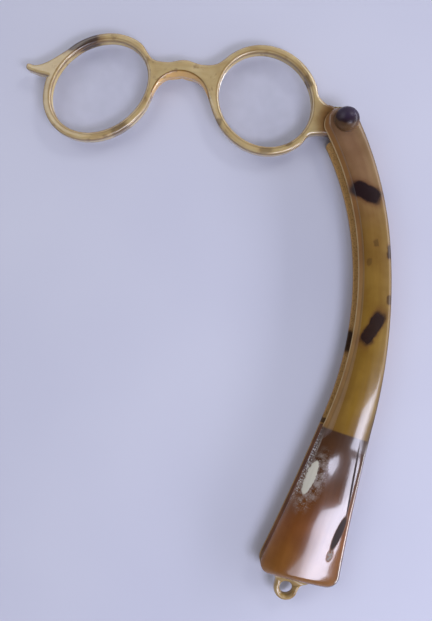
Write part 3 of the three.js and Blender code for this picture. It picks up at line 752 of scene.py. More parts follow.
def honey_over_slot(tree, place):
    """Honey along the slot, painted light that comes up through the plate, and red-brown over the heel,
    painted shade where none does; clouded, dark along the very edge, with the marks of the heel on top."""
    along = node(tree, "SeparateXYZ", {0: place}).outputs["X"]
    depth = node(tree, "MapRange", {"Value": along, 1: SLOT_LENGTH, 2: HANDLE_LENGTH})
    brown = node(tree, "ValToRGB", {"Fac": depth.outputs[0]}, stops=HEEL_STOPS)
    # Painted light and shade: the crisp step from honey over the slot to red-brown over the solid heel.
    solid = node(tree, "MapRange", {"Value": along, 1: HEEL_LINE_START, 2: HEEL_LINE_END})
    colour = node(tree, "Mix", {0: solid.outputs[0], 6: honey_along_slot(tree, place),
                                7: brown.outputs["Color"]}, data_type="RGBA").outputs[2]
    cloud = node(tree, "TexNoise", {"Vector": place, "Scale": 1 / CLOUD_SIZE, "Detail": 3.0})
    shade = node(tree, "ValToRGB", {"Fac": cloud.outputs["Fac"]}, stops={0.3: "#d8cdc0", 0.65: "#ffffff"})
    colour = node(tree, "Mix", {0: 0.7, 6: colour, 7: shade.outputs["Color"]},
                  data_type="RGBA", blend_type="MULTIPLY").outputs[2]
    for mask, code in ((strip_mask(tree, place, 1, RIM_TONE), "#3a2c1f"), *heel_marks(tree, place)):
        colour = node(tree, "Mix", {0: mask, 6: colour, 7: linear(code)}, data_type="RGBA").outputs[2]
    return colour


honey_shell = polished_shell("pressed_honey_shell", honey_over_slot, FRONT_BLOTCHES,
                             gloss=0.13, worn=front_matt_places)
dress(front_plate, honey_shell, "amber_shell", "handle", "front_cheek")
print("front plate in", honey_shell.name, "with", len(honey_shell.node_tree.nodes), "nodes")

# %% [markdown]
# ## Back plate and spine
# The back plate is flat and lies on the table. Its inner edge shows beside the slot as a darker
# band with a grainy, sawn look. Near the hinge a rounded corner is cut away below the lug. The
# rivet's cone head sits flush in its back, so the plate needs a countersunk hole there. The spine
# is a plain strip. Neither was waxed, so they hardly shine, and the front plate stands out.
#
# Copies of the solids would do for both, but their edges are sharp, and their points don't say how
# far along the handle they lie. Sections on the same centre line fit the front plate, and carry the
# pattern round the bow.

# %% Back plate and spine shapes
BACK_ROUND, BACK_EASE, BACK_STEPS, CORE_EASE = 0.7, 0.12, 7, 0.1
BACK_NOTCH_AT, BACK_NOTCH, BACK_NOTCH_ROUND = 6.0, 2.6, 1.8
SPINE_WIDTH, SPINE_START = 2.0, 7.2
HEAD_RADIUS, SHANK_RADIUS, HEAD_DEPTH = 2.26, 1.26, 1.06
CUT_START, CUT_END = -1.0, 5.0
GLUE_GAP = 0.05
NOTCH_STEPS, SPINE_STEPS, BLOCK_STEPS = 12, 140, 70
back_top = node_box("back_cheek")[1][2]
core_bottom, core_top = node_box("spine_strip")[0][2], node_box("spine_strip")[1][2]


def back_inner(along):
    """Inner edge of the back plate: the half width, narrowed by a round corner below the lug."""
    below = np.clip((BACK_NOTCH_AT - along) / BACK_NOTCH_ROUND, 0, 1)
    return half_width(along) * (BACK_NOTCH / TOP_HALF * (1 - np.sqrt(1 - below ** 2)) - 1)


def back_sections(along):
    """Flat plate with both lower edges rounded by BACK_ROUND and its upper edges eased."""
    half, inner = half_width(along), back_inner(along)
    squeeze = np.minimum(half / WAIST_HALF, 1)
    corners = section(along, (inner, 0), (inner, back_top), (half, back_top), (half, 0))
    radius = np.array([BACK_ROUND, BACK_EASE, BACK_EASE, BACK_ROUND]) * squeeze[:, None]
    return rounded(corners, radius, BACK_STEPS)


def core_sections(along, inner):
    """Straight-sided layer between the plates, from "inner" to the outer edge."""
    half = half_width(along)
    corners = section(along, (inner, core_bottom), (inner, core_top), (half, core_top), (half, core_bottom))
    return rounded(corners, CORE_EASE)


notch_stations = np.linspace(BACK_NOTCH_AT - BACK_NOTCH_ROUND, BACK_NOTCH_AT, NOTCH_STEPS)
back_stations = np.unique(np.concatenate([plate_stations, notch_stations]).round(4))
back_plate = make_piece("back_plate", [along_handle(back_stations, back_sections(back_stations))])
countersink = make_piece("countersink", [turned_grid([
    (0, CUT_START), (HEAD_RADIUS, CUT_START), (HEAD_RADIUS, 0), (SHANK_RADIUS, HEAD_DEPTH),
    (SHANK_RADIUS, CUT_END), (0, CUT_END)], rivet)])


def bow_places(points):
    """Undo on_handle on the bow: the angle round the bow's centre gives the distance along, and the
    distance from that centre gives the distance across."""
    offset = points[..., :2] - rivet[:2] + BOW_RADIUS * np.array([math.cos(BOW_LEAN), math.sin(BOW_LEAN)])
    along = BOW_RADIUS * (BOW_LEAN - np.arctan2(offset[..., 1], offset[..., 0]))
    top = np.clip(1 - along / TOP_SHIFT_LENGTH, 0, 1)
    across = np.linalg.norm(offset, axis=-1) - BOW_RADIUS + TOP_SHIFT * top ** 2
    return np.stack([along, across, points[..., 2]], axis=-1)


combine(back_plate, countersink, "DIFFERENCE", bow_places)
spine_stations = np.linspace(SPINE_START, SLOT_LENGTH - GLUE_GAP, SPINE_STEPS)
spine = make_piece("spine", [along_handle(
    spine_stations, core_sections(spine_stations, half_width(spine_stations) - SPINE_WIDTH))])

# %% Back plate and spine finish
# The band's honey is lighter than its shell: painted light for the glow in the shade under the front plate.
BAND_STOPS = {0.0: "#a37c48", 0.4: "#a07845", 0.7: "#8e6838"}
BACK_BLOTCHES = [(81.5, -7.0, 4.2, 2.6, 0, 0.9), (113.0, -8.0, 1.1, 1.8, 0, 0.7),
                 (27.0, 3.0, 5.0, 3.4, 30, 0.95), (140.0, 2.0, 12.0, 6.0, 20, 0.95)]


def grainy_honey(tree, place):
    """Honey ground with fine dark saw grain, as on an edge that was never fully polished. It is
    painted lighter towards the slot, for the light that comes through the thin edge."""
    axes = node(tree, "SeparateXYZ", {0: place}).outputs
    share = node(tree, "Math", {0: axes["X"], 1: HANDLE_LENGTH}, operation="DIVIDE")
    honey = node(tree, "ValToRGB", {"Fac": share.outputs[0]}, stops=BAND_STOPS)
    # Painted light: paler towards the slot, where light comes through the thin edge.
    thin = node(tree, "MapRange", {"Value": axes["Z"], 1: 0.8, 2: back_top - 0.1, 4: 0.4})
    thin = node(tree, "MapRange", {"Value": axes["Y"], 1: -0.5, 2: -2.5, 4: thin.outputs[0]})
    honey = node(tree, "Mix", {0: thin.outputs[0], 6: honey.outputs["Color"], 7: linear("#f2c684")},
                 data_type="RGBA")
    grain = node(tree, "TexNoise", {"Vector": place, "Scale": 1 / SPECK_SIZE, "Detail": 2.0})
    shade = node(tree, "ValToRGB", {"Fac": grain.outputs["Fac"]}, stops={0.36: "#8f7a64", 0.5: "#ffffff"})
    return node(tree, "Mix", {0: 0.45, 6: honey.outputs[2], 7: shade.outputs["Color"]},
                data_type="RGBA", blend_type="MULTIPLY").outputs[2]


grainy_shell = polished_shell("sawn_honey_shell", grainy_honey, BACK_BLOTCHES,
                              gloss=0.4, wax=0.0, shine=0.2)
dress(back_plate, grainy_shell, "amber_shell", "handle", "back_cheek")
dress(spine, grainy_shell, "amber_shell", "handle", "spine_strip")
print("back plate and spine in", grainy_shell.name)

# %% [markdown]
# ## Heel block with its hanging loop
# The block fills the heel between the plates, and the small loop for a ribbon is carved from the
# same piece. The loop is a ring whose section is a rounded square. Its hole is a circle, and its
# outline is a half circle below that runs out in a flared neck towards the heel, so the ring can
# be written as "hole point plus a share of the way to the outline point". A torus would be quicker,
# but it has no neck. The block's sides were left as sawn and look dull. Only the loop, which is
# handled, was polished, and it glints.

# %% Heel block and loop shapes
LOOP_HOLE, LOOP_WALL, LOOP_THICKNESS = 2.2, 2.3, 4.0
LOOP_DROP, LOOP_OFFSET, LOOP_ROOT = 4.2, -2.2, 1.0
NECK_TAPER, NECK_FLARE, LOOP_POWER = 0.1, 0.9, 2.3
NECK_STEPS, ROUND_STEPS, LID_STEPS, WHEEL_STEPS = 14, 40, 16, 28
loop_outer = LOOP_HOLE + LOOP_WALL
core_middle = (core_bottom + core_top) / 2

block_stations = np.concatenate([
    np.linspace(SLOT_LENGTH + GLUE_GAP, HANDLE_LENGTH - HEEL_CORNER, BLOCK_STEPS), heel_stations[1:]])
heel_block = make_piece("heel_and_loop", [along_handle(
    block_stations, core_sections(block_stations, -half_width(block_stations)))])

neck = np.linspace(0, 1, NECK_STEPS)
neck_side = loop_outer * (1 + NECK_TAPER * neck + NECK_FLARE * neck ** 3)
neck_up = neck * (LOOP_DROP + LOOP_ROOT)
round_end = np.linspace(np.pi, 2 * np.pi, ROUND_STEPS)
lid = np.linspace(1, -1, LID_STEPS)[1:-1]
loop_outline = np.concatenate([
    np.stack([loop_outer * np.cos(round_end), loop_outer * np.sin(round_end)], axis=-1),
    np.stack([neck_side, neck_up], axis=-1)[1:],
    np.stack([lid * neck_side[-1], np.full(len(lid), neck_up[-1])], axis=-1),
    np.stack([-neck_side, neck_up], axis=-1)[:0:-1],
])
bearing = np.arctan2(loop_outline[:, 1], loop_outline[:, 0])
hole = LOOP_HOLE * np.stack([np.cos(bearing), np.sin(bearing)], axis=-1)
wheel = np.linspace(0, 2 * np.pi, WHEEL_STEPS, endpoint=False)[:, None]
square = (np.abs(np.cos(wheel)) ** LOOP_POWER + np.abs(np.sin(wheel)) ** LOOP_POWER) ** (-1 / LOOP_POWER)
share = 0.5 + 0.5 * np.cos(wheel) * square
plan = hole + (loop_outline - hole) * share[..., None]
height = np.broadcast_to(core_middle + LOOP_THICKNESS / 2 * np.sin(wheel) * square, plan.shape[:2])
loop_stations = np.array([HANDLE_LENGTH + LOOP_DROP, HANDLE_LENGTH])
centre, foot = on_handle(loop_stations, np.full(2, LOOP_OFFSET), np.zeros(2))[:, :2]
up = (foot - centre) / np.linalg.norm(foot - centre)
side = np.array([up[1], -up[0]])
loop_plan = centre + plan[..., :1] * side + plan[..., 1:] * up
loop_points = np.concatenate([loop_plan, height[..., None]], axis=-1)
loop_points = np.concatenate([loop_points, loop_points[:1]])


def loop_places(points):
    """Distance along the handle and across it, both straight on from the heel's end."""
    offset = points[..., :2] - centre
    return np.stack([HANDLE_LENGTH + LOOP_DROP - offset @ up, LOOP_OFFSET + offset @ side, points[..., 2]],
                    axis=-1)


loop = make_piece("loop", [(loop_points, loop_places(loop_points))])
combine(heel_block, loop, "UNION", loop_places)
print("loop hole", 2 * LOOP_HOLE, "mm, heel and loop", len(heel_block.data.polygons), "faces")

# %% Heel block finish
BLOCK_BLOTCHES = [(150.0, 12.0, 9.0, 5.0, 0, 0.9)]
GOLD_START, GOLD_END = HANDLE_LENGTH - 8, HANDLE_LENGTH + 3
POLISH_START, POLISH_END = HANDLE_LENGTH, HANDLE_LENGTH + 1


def brown_core(tree, place):
    """Red-brown ground in the block, lighter and golden in the thin loop."""
    axes = node(tree, "SeparateXYZ", {0: place}).outputs
    end = node(tree, "MapRange", {"Value": axes["X"], 1: GOLD_START, 2: GOLD_END})
    cloud = node(tree, "TexNoise", {"Vector": place, "Scale": 1 / CLOUD_SIZE, "Detail": 3.0})
    deep = node(tree, "ValToRGB", {"Fac": cloud.outputs["Fac"]}, stops={0.35: "#4d2a12", 0.65: "#6f4119"})
    gold = node(tree, "ValToRGB", {"Fac": cloud.outputs["Fac"]}, stops={0.35: "#86672f", 0.65: "#bfa56c"})
    return node(tree, "Mix", {0: end.outputs[0], 6: deep.outputs["Color"], 7: gold.outputs["Color"]},
                data_type="RGBA").outputs[2]


def sawn_sides(tree, place):
    """The block's sides were left as sawn, and only the loop is polished."""
    along = node(tree, "SeparateXYZ", {0: place}).outputs["X"]
    return [node(tree, "MapRange", {
        "Value": along, 1: POLISH_START, 2: POLISH_END, 3: 1.0, 4: 0.0}).outputs[0]]


brown_shell = polished_shell("carved_brown_shell", brown_core, BLOCK_BLOTCHES,
                             gloss=0.15, shine=0.3, worn=sawn_sides)
dress(heel_block, brown_shell, "brown_shell", "handle", "heel_block")
print("heel and loop in", brown_shell.name)

# %% [markdown]
# ## Blond eyeglass frame
# Rims, bridge, hinge lug and the little hooked finger tab are sawn from one plate of blond shell.
# The outline is a smooth closed curve through a few points: arcs round the two ovals, an arc
# round the rivet, the bridge with its small bump above and the nose arch below, and the tab.
#
# To make a surface of it, the plate is split through the bridge. Each half is a band between the
# lens hole and the outline, so a grid fits: columns go round the lens, rows go from hole to
# outline. The height at a point follows its distance to the nearest edge, which rounds every edge
# alike, however sharp the outline is there. The nose arch is chamfered by a cone. An extruded curve
# with a bevel would be shorter, but the bevel folds over itself at the tab and in tight corners.

# %% Ovals, lug and smooth curve
LENS_SPACING, LENS_LONG, LENS_SHORT = 60.0, 36.5, 30.7
LENS_TILT, LENS_RACK = 42.0, 1.3
RIM_WIDTH, FRAME_LEAN = 3.08, math.radians(4.5)
RIM_STEP = 12
LUG_REACH, LUG_DROP, LUG_RADIUS = 29.3, 5.8, 5.2
lug = np.array([LENS_SPACING / 2 + LUG_REACH, -LUG_DROP])


def oval(side, degrees, grow):
    """Point of a lens oval grown by "grow": the polar form of an ellipse turned by LENS_TILT.
    The old frame is racked, so the far oval is drawn out and the near one is rounder."""
    long = (LENS_LONG - side * LENS_RACK) / 2 + grow
    short = (LENS_SHORT + side * LENS_RACK) / 2 + grow
    bearing = np.radians(degrees)
    turn = bearing + side * math.radians(LENS_TILT)
    reach = long * short / np.hypot(short * np.cos(turn), long * np.sin(turn))
    return np.stack([side * LENS_SPACING / 2 + reach * np.cos(bearing), reach * np.sin(bearing)], axis=-1)


def rim(side, start, end):
    """Points of the rim's outer edge between two bearings, about every RIM_STEP degrees."""
    return oval(side, np.linspace(start, end, round((end - start) / RIM_STEP) + 1), RIM_WIDTH)


def round_lug(degrees, share=1.0):
    """Points round the rivet at a share of the lug's radius."""
    bearing = np.radians(degrees)
    return lug + share * LUG_RADIUS * np.stack([np.cos(bearing), np.sin(bearing)], axis=-1)


def smooth_curve(points, steps):
    """Closed centripetal Catmull-Rom curve: the tangent at a point weighs its two neighbours by
    the square root of their distance, and cubic Hermite spans join the points."""
    before, after, beyond = (np.roll(points, shift, axis=0) for shift in (1, -1, -2))
    chords = [points - before, after - points, beyond - after]
    gaps = [np.sqrt(np.linalg.norm(chord, axis=1, keepdims=True)) for chord in chords]
    slopes = [chord / gap for chord, gap in zip(chords, gaps)]
    leave = gaps[1] * (slopes[0] - (after - before) / (gaps[0] + gaps[1]) + slopes[1])
    arrive = gaps[1] * (slopes[1] - (beyond - points) / (gaps[1] + gaps[2]) + slopes[2])
    t = np.linspace(0, 1, steps, endpoint=False)[None, :, None]
    hermite = ((2 * t ** 3 - 3 * t ** 2 + 1) * points[:, None] + (t ** 3 - 2 * t ** 2 + t) * leave[:, None]
               + (3 * t ** 2 - 2 * t ** 3) * after[:, None] + (t ** 3 - t ** 2) * arrive[:, None])
    return hermite.reshape(-1, 2)


def evenly(line, count):
    """Points spaced evenly by length along an open line."""
    length = np.concatenate([[0], np.cumsum(np.linalg.norm(np.diff(line, axis=0), axis=1))])
    wanted = np.linspace(0, length[-1], count)
    return np.stack([np.interp(wanted, length, line[:, axis]) for axis in (0, 1)], axis=-1)


print("lug at", lug, "mm from the middle of the bridge")

# %% Outline of the frame
BRIDGE_RISE, BRIDGE_DEPTH, BRIDGE_BUMP, BRIDGE_WING = 6.4, 4.6, 1.2, 0.7
ARCH_WIDTH, ARCH_SHIFT = 17.8, -0.7
TAB_LENGTH, TAB_TIP, TAB_BEARING = 9.0, 1.7, 163
SPAN_STEPS, HALF_POINTS = 24, 460
MIRROR = np.array([-1, 1])

bridge_top = BRIDGE_RISE + BRIDGE_DEPTH
half_bridge = np.array([[0.65 * ARCH_WIDTH, bridge_top + BRIDGE_WING], [0.35 * ARCH_WIDTH, bridge_top]])
half_arch = np.array([[0.16, 0.94], [0.36, 0.7], [0.5, 0.22]]) * [ARCH_WIDTH, BRIDGE_RISE]
root = oval(-1, TAB_BEARING, RIM_WIDTH)
tip = root - [TAB_LENGTH, 0]
tab = np.array([
    root + [-0.25 * TAB_LENGTH, 1.1 * TAB_TIP], root + [-0.65 * TAB_LENGTH, 0.4 * TAB_TIP],
    tip + [0.2 * TAB_TIP, 0.6 * TAB_TIP], tip - [0, 0.45 * TAB_TIP],
    tip + [0.4 * TAB_LENGTH, -1.3 * TAB_TIP], root - [0.1 * TAB_LENGTH, 1.8 * TAB_TIP]])
shift = np.array([ARCH_SHIFT, 0])
near_side = np.concatenate([
    [[ARCH_SHIFT, BRIDGE_RISE]], half_arch + shift, rim(1, 200, 326), round_lug(np.linspace(-95, 115, 10)),
    [round_lug(133, 1.52), round_lug(138, 1.68)], rim(1, 8, 130), half_bridge])
far_side = np.concatenate([
    [[0, bridge_top + BRIDGE_BUMP]], half_bridge[::-1] * MIRROR, rim(-1, 50, 136), tab, rim(-1, 174, 340),
    half_arch[::-1] * MIRROR + shift])
curve = smooth_curve(np.concatenate([near_side, far_side]), SPAN_STEPS)
split = len(near_side) * SPAN_STEPS
near_line = evenly(curve[:split + 1], HALF_POINTS)
far_line = evenly(np.concatenate([curve[split:], curve[:1]]), HALF_POINTS)
outline = np.concatenate([near_line[:-1], far_line[:-1]])
print("frame outline:", len(near_side) + len(far_side), "points,", len(outline), "on the curve")

# %% Levels of the frame
OUTER_ROUND, HOLE_ROUND, ROUND_DROP = 1.25, 0.9, 1.1
SADDLE_CHAMFER, SADDLE_FOOT, SADDLE_LOWEST = 1.5, 1 / 3, -0.2
frame_low, frame_high = node_box("eyeglass_frame")
frame_middle = (frame_low[2] + frame_high[2]) / 2
frame_half = (frame_high[2] - frame_low[2]) / 2
wall_top = frame_half - ROUND_DROP


def distance_to(points, line):
    """Distance of each point to a closed line: the point is dropped onto every segment, held
    between its ends, and the nearest counts."""
    step = np.roll(line, -1, axis=0) - line
    offset = points[:, None] - line
    share = np.clip((offset * step).sum(axis=-1) / (step ** 2).sum(axis=-1), 0, 1)
    return np.linalg.norm(offset - share[..., None] * step, axis=-1).min(axis=1)


def edge_drop(distance, radius):
    """How far a rounded edge lies below the face: a quarter ellipse over "radius"."""
    share = np.clip(distance / radius, 0, 1)
    return ROUND_DROP * (1 - np.sqrt(1 - (1 - share) ** 2))


def saddle_level(plan):
    """Height of the cone that chamfers the nose arch, from a share of half the thickness at the arch
    to all of it where the chamfer ends."""
    reach = np.linalg.norm(plan - [ARCH_SHIFT, BRIDGE_RISE - ARCH_WIDTH / 2], axis=-1)
    share = (reach - ARCH_WIDTH / 2) / SADDLE_CHAMFER
    return np.maximum(frame_half * (SADDLE_FOOT + (1 - SADDLE_FOOT) * share), SADDLE_LOWEST)


def hang(plan, height):
    """Turn plan points by the frame's lean about the rivet and set them in the world."""
    x, y = plan[..., 0] - lug[0], plan[..., 1] - lug[1]
    c, s = math.cos(-FRAME_LEAN), math.sin(-FRAME_LEAN)
    return np.stack([rivet[0] + c * x - s * y, rivet[1] + s * x + c * y, frame_middle + height], axis=-1)


print("frame", 2 * frame_half, "mm thick, walls", round(2 * wall_top, 2), "mm")

# %% Surface of the frame
GROOVE_DEPTH, GROOVE_EDGE, GROOVE_FLAT = 0.85, 1.044, 0.3
BAND_ROWS, HOLE_POINTS, CUT_POINTS, WALL_ROWS = 30, 240, 14, 5
BORE_RADIUS, BORE_TOP = 1.92, 9.0


def half_frame(side, line, cut):
    """Sheets of one half: front and back faces from lens hole to outline, and the hole's wall."""
    loop = np.concatenate([line, cut])
    bearing = np.unwrap(np.arctan2(loop[:, 1], loop[:, 0] - side * LENS_SPACING / 2))
    bearing = np.maximum.accumulate(bearing)
    degrees = np.degrees(bearing)
    hole = oval(side, degrees, 0.0)
    share = (1 - np.cos(np.linspace(0, np.pi, BAND_ROWS)))[:, None, None] / 2
    plan = hole + (loop - hole) * share
    full_hole = oval(side, np.linspace(0, 360, HOLE_POINTS, endpoint=False), 0.0)
    to_outline = np.array([distance_to(row, outline) for row in plan])
    to_hole = np.array([distance_to(row, full_hole) for row in plan])
    to_hole[0] = 0
    level = frame_half - edge_drop(to_outline, OUTER_ROUND) - edge_drop(to_hole, HOLE_ROUND)
    front = np.minimum(level, saddle_level(plan))
    inset = np.minimum(to_outline, to_hole)
    wall_half = np.array([wall_top, GROOVE_EDGE, GROOVE_FLAT])
    wall_height = np.concatenate([wall_half, -wall_half[::-1]])
    wall_grow = np.array([0, 0, GROOVE_DEPTH, GROOVE_DEPTH, 0, 0])
    wall_plan = np.stack([oval(side, degrees, grow) for grow in wall_grow])
    wall_level = np.broadcast_to(wall_height[:, None], wall_plan.shape[:2])
    wall_inset = np.broadcast_to(np.array([0, -1, -1, -1, -1, 0.0])[:, None], wall_level.shape)
    sheets = [(plan, front, inset), (plan, -level, inset), (wall_plan, wall_level, wall_inset)]
    return [(hang(p, z), np.concatenate([p, d[..., None]], axis=-1)) for p, z, d in sheets]


cut = np.linspace(near_line[-1], near_line[0], CUT_POINTS)[1:-1]
outer_top = np.minimum(wall_top, saddle_level(outline))
outer_level = outer_top + (-wall_top - outer_top) * np.linspace(0, 1, WALL_ROWS)[:, None]
outer_plan = np.broadcast_to(outline, (WALL_ROWS, *outline.shape))
row_inset = np.array([0, *[-1] * (WALL_ROWS - 2), 0.0])
outer_inset = np.broadcast_to(row_inset[:, None, None], (WALL_ROWS, len(outline), 1))
outer_place = np.concatenate([outer_plan, outer_inset], axis=-1)
eyeglass_rims = make_piece("eyeglass_rims", [
    *half_frame(1, near_line, cut), *half_frame(-1, far_line, cut[::-1]),
    (hang(outer_plan, outer_level), outer_place)])
bore = make_piece("bore", [turned_grid([(0, 0), (BORE_RADIUS, 0), (BORE_RADIUS, BORE_TOP),
                                        (0, BORE_TOP)], rivet)])


def lug_places(points):
    """Undo hang: plan points turned back about the rivet, well inside the outline."""
    x, y = points[..., 0] - rivet[0], points[..., 1] - rivet[1]
    c, s = math.cos(FRAME_LEAN), math.sin(FRAME_LEAN)
    return np.stack([lug[0] + c * x - s * y, lug[1] + s * x + c * y, np.full(x.shape, LUG_RADIUS)], axis=-1)


combine(eyeglass_rims, bore, "DIFFERENCE", lug_places)

# %% [markdown]
# ## Finish of the frame
# Blond shell is the palest and clearest kind. The sawn plate is thin, so light scatters deep into it
# and its walls look pale. Edges look darker, because there one looks through more of it, and the
# groove of the lens shows through as a faint ring. The third value of the place is the distance to
# the nearest edge, so edge lines and walls are simple ranges of it. Shading them by the angle of
# view would be shorter, but such lines slide when one walks round the frame.
# These looks are painted into the colour: light on the walls and as a golden glow on the chamfer of the
# nose arch, shade as dark lines along the edges and round the arch, and as the groove's ring.

# %% Blond shell finish
FRAME_BLOTCHES = [(-37.5, 15.8, 6.4, 2.6, 22, 1.0), (-21.5, -14.6, 3.2, 1.5, 35, 0.5),
                  (13.8, -9.5, 1.3, 1.1, 0, 0.45), (31.5, -18.4, 2.2, 1.0, 5, 0.4),
                  (39.5, -15.0, 1.3, 1.0, 30, 0.4), (45.0, 8.0, 2.4, 0.8, -60, 0.5)]
LUG_TINT, BROWN_SIZE = 11.0, 3.1
GROOVE_LINE, ARCH_LINE = (0.85, 1.35), 0.5


def blond_plate(tree, place):
    """Pale gold ground with painted shade as dark edge lines, painted light on the lens walls, a golden
    nose arch of painted light with a painted dark line round it, a ring of painted shade where the
    groove shows through, small brown clouds and an orange-brown tint round the lug."""
    inset = node(tree, "SeparateXYZ", {0: place}).outputs["Z"]
    cloud = node(tree, "TexNoise", {"Vector": place, "Scale": 1 / CLOUD_SIZE, "Detail": 4.0})
    colour = node(tree, "ValToRGB", {"Fac": cloud.outputs["Fac"]},
                  stops={0.3: "#a38b5e", 0.5: "#b6a071", 0.7: "#c0ab7e"}).outputs["Color"]
    arch = (ARCH_SHIFT, BRIDGE_RISE - ARCH_WIDTH / 2)
    arch_reach = ARCH_WIDTH / 2 + SADDLE_CHAMFER
    # Painted light on the chamfer of the nose arch, and painted shade as a dark line round it.
    saddle, line = (oval_mask(tree, place, (*arch, reach, reach, 0), 1.0, 0.97)
                    for reach in (arch_reach, arch_reach + ARCH_LINE))
    # Painted shade as dark lines along the edges, and painted light on the lens walls.
    edge = node(tree, "MapRange", {"Value": inset, 1: 0.15, 2: 0.55, 3: 0.75, 4: 0.0},
                interpolation_type="SMOOTHSTEP").outputs[0]
    wall = node(tree, "MapRange", {"Value": inset, 1: -0.1, 2: -0.6}).outputs[0]
    layers = [(edge, "#73582f"), (wall, "#bda878"), (line, "#80602f"), (saddle, "#c39c5e")]
    # Painted shade as a ring where the groove of each lens shows through.
    for side in (-1, 1):
        long, short = (LENS_LONG - side * LENS_RACK) / 2, (LENS_SHORT + side * LENS_RACK) / 2
        inner, outer = (oval_mask(tree, place, (side * LENS_SPACING / 2, 0, long + grow, short + grow,
                                                -side * LENS_TILT), 1.0, 0.975) for grow in GROOVE_LINE)
        ring = node(tree, "Math", {0: outer, 1: inner}, operation="SUBTRACT").outputs[0]
        ring = node(tree, "MapRange", {"Value": ring, 4: 0.55}).outputs[0]
        layers.append((ring, "#7d6035"))
    speck = node(tree, "TexNoise", {"Vector": place, "Scale": 1 / BROWN_SIZE, "Detail": 2.0}).outputs["Fac"]
    brown = node(tree, "MapRange", {"Value": speck, 1: 0.62, 2: 0.72, 4: 0.5}).outputs[0]
    # An orange-brown tint round the lug.
    tint_patch = oval_mask(tree, place, (*lug, LUG_TINT, LUG_TINT, 0), 1.1, 0.7)
    for mask, code in (*layers, (brown, "#70553a"), (tint_patch, "#7c5930")):
        colour = node(tree, "Mix", {0: mask, 6: colour, 7: linear(code)}, data_type="RGBA").outputs[2]
    return colour


blond_shell = polished_shell("sawn_blond_shell", blond_plate, FRAME_BLOTCHES, blotch_code="#3d2a20",
                             glow=0.4, depth=1.6)
dress(eyeglass_rims, blond_shell, "blond_shell", "eyeglass", "eyeglass_frame")
print("frame in", blond_shell.name, "with", len(blond_shell.node_tree.nodes), "nodes")

# %% [markdown]
# ## Lenses
# The lenses are clear oval glass, slightly domed on both faces, with a ground edge that sits in
# the groove of the rim. A grid fits again: columns go round the oval, rows run from the middle of
# the back over the edge to the middle of the front. Glass this weak hardly bends what lies under
# it, so a low alpha with a slight grey smear shows it better than full refraction would. The grey
# is partly the glass's own dimming and partly painted shade over what lies under the lens.

# %% Lenses
LENS_EDGE, LENS_SAG, LENS_SEAT = 1.2, 0.7, 0.6
FACE_RINGS, LENS_POINTS = 16, 120
GLASS_IOR, SMEAR_SIZE = 1.52, 6.0


def lens_grid(side):
    """Two shallow paraboloids, height = edge / 2 + sag * (1 - share squared), and a sharp rim."""
    share = np.sin(np.linspace(0, np.pi / 2, FACE_RINGS))
    face = LENS_EDGE / 2 + LENS_SAG * (1 - share ** 2)
    shares = np.concatenate([share, [1.0], share[::-1]])
    grows = np.concatenate([0 * share, [LENS_SEAT], 0 * share])
    heights = np.concatenate([-face, [0.0], face[::-1]])
    degrees = np.linspace(0, 360, LENS_POINTS, endpoint=False)
    centre = np.array([side * LENS_SPACING / 2, 0])
    plan = np.stack([centre + s * (oval(side, degrees, g) - centre) for s, g in zip(shares, grows)])
    level = np.broadcast_to(heights[:, None], plan.shape[:2])
    return hang(plan, level), np.concatenate([plan, level[..., None]], axis=-1)


glass_material, tree, output = new_material("ground_and_polished_glass")
spot = node(tree, "Attribute", attribute_name="place").outputs["Vector"]
# The grey smear: partly the glass's own dimming, partly painted shade.
smear = node(tree, "TexNoise", {"Vector": spot, "Scale": 1 / SMEAR_SIZE, "Detail": 4.0})
haze = node(tree, "MapRange", {"Value": smear.outputs["Fac"], 1: 0.35, 2: 0.75, 3: 0.02, 4: 0.07})
surface = node(tree, "BsdfPrincipled", {"Base Color": linear("#8d8c98"), "Roughness": 0.04,
                                        "IOR": GLASS_IOR, "Alpha": haze.outputs[0]})
tree.links.new(surface.outputs["BSDF"], output.inputs["Surface"])
for side, name in ((-1, "left_lens"), (1, "right_lens")):
    lens = make_piece(name.replace("lens", "glass"), [lens_grid(side)])
    dress(lens, glass_material, "lens_glass", "eyeglass", name)

# %% [markdown]
# ## Hinge: knob and brass
# A dark domed knob covers the peened end of the rivet. It is a turned shape, so its outline is
# carried round the rivet's axis, which gives its foot and its hollow too, where a flattened sphere
# would not. It has no wax, so its glint is broad and dim. The brass parts behind it hardly
# show, so they keep their solids and only get a finish: turned brass, with duller and darker
# patches where it has tarnished.

# %% Knob
KNOB_WALL, KNOB_HOLLOW, KNOB_HOLLOW_TOP = 1.15, 2.56, 1.5
FOOT_SHARE, EASE_SHARE, EASE_RISE, DOME_STEPS = 0.94, 0.985, 0.15, 30
CAP_RAGGED, CAP_TEAR, CAP_LEAN, CAP_DARK = 1.8, 1.4, 0.75, (9.8, 14.6)
knob_low, knob_high = node_box("pivot_knob")
knob_radius = (knob_high[0] - knob_low[0]) / 2
knob_foot, wall_end = knob_low[2], knob_low[2] + KNOB_WALL
lift = np.radians(np.linspace(0, 90, DOME_STEPS))
dome_height = wall_end + (knob_high[2] - wall_end) * np.sin(lift)
dome = np.stack([knob_radius * np.cos(lift), dome_height], axis=-1)
hollow_end = knob_foot + KNOB_HOLLOW_TOP
knob_outline = [(0, hollow_end), (KNOB_HOLLOW, hollow_end), (KNOB_HOLLOW, knob_foot),
                (FOOT_SHARE * knob_radius, knob_foot), (EASE_SHARE * knob_radius, knob_foot + EASE_RISE),
                *dome]
hinge_knob = make_piece("hinge_knob", [turned_grid(knob_outline, rivet)])


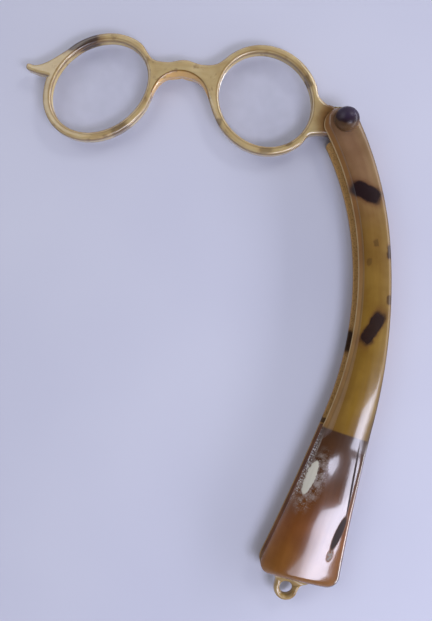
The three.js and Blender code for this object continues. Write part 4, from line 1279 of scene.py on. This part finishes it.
def dark_cap(tree, place):
    """Near-black cap that turns brown towards the foot on the handle's side."""
    axes = node(tree, "SeparateXYZ", {0: place}).outputs
    lean = node(tree, "Math", {0: axes["Y"], 1: CAP_LEAN, 2: axes["Z"]}, operation="MULTIPLY_ADD")
    ragged = node(tree, "TexNoise", {"Vector": place, "Scale": 1 / CAP_RAGGED, "Detail": 3.0})
    height = node(tree, "Math", {0: ragged.outputs["Fac"], 1: CAP_TEAR, 2: lean.outputs[0]},
                  operation="MULTIPLY_ADD")
    dark = node(tree, "MapRange", {"Value": height.outputs[0], 1: CAP_DARK[0], 2: CAP_DARK[1]})
    return node(tree, "ValToRGB", {"Fac": dark.outputs[0]},
                stops={0.0: "#5a4026", 0.42: "#4c3521", 0.55: "#241318", 1.0: "#33283a"}).outputs["Color"]


dark_shell = polished_shell("turned_dark_shell", dark_cap, [], gloss=0.28, glow=0.05, wax=0.0, shine=0.2)
dress(hinge_knob, dark_shell, "dark_shell", "handle", "pivot_knob")

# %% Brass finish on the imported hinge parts
TARNISH_SIZE = 1.2
BRASS_PARTS = ("lug_bush", "front_washer", "back_washer", "pivot_rivet", "rivet_burr")

brass, tree, output = new_material("turned_brass")
spot = node(tree, "TexCoord").outputs["Object"]
tint_patch = node(tree, "TexNoise", {"Vector": spot, "Scale": 1 / (TARNISH_SIZE * MM), "Detail": 4.0})
tone = node(tree, "ValToRGB", {"Fac": tint_patch.outputs["Fac"]}, stops={0.35: "#7d6232", 0.6: "#c3a35c"})
rough = node(tree, "MapRange", {"Value": tint_patch.outputs["Fac"], 1: 0.3, 2: 0.7, 3: 0.45, 4: 0.25})
surface = node(tree, "BsdfPrincipled", {"Base Color": tone.outputs["Color"], "Metallic": 1.0,
                                        "Roughness": rough.outputs[0]})
tree.links.new(surface.outputs["BSDF"], output.inputs["Surface"])
for name in BRASS_PARTS:
    hinge_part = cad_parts[name]
    hinge_part.data.materials.clear()
    hinge_part.data.materials.append(brass)
print("brass on", len(BRASS_PARTS), "parts")
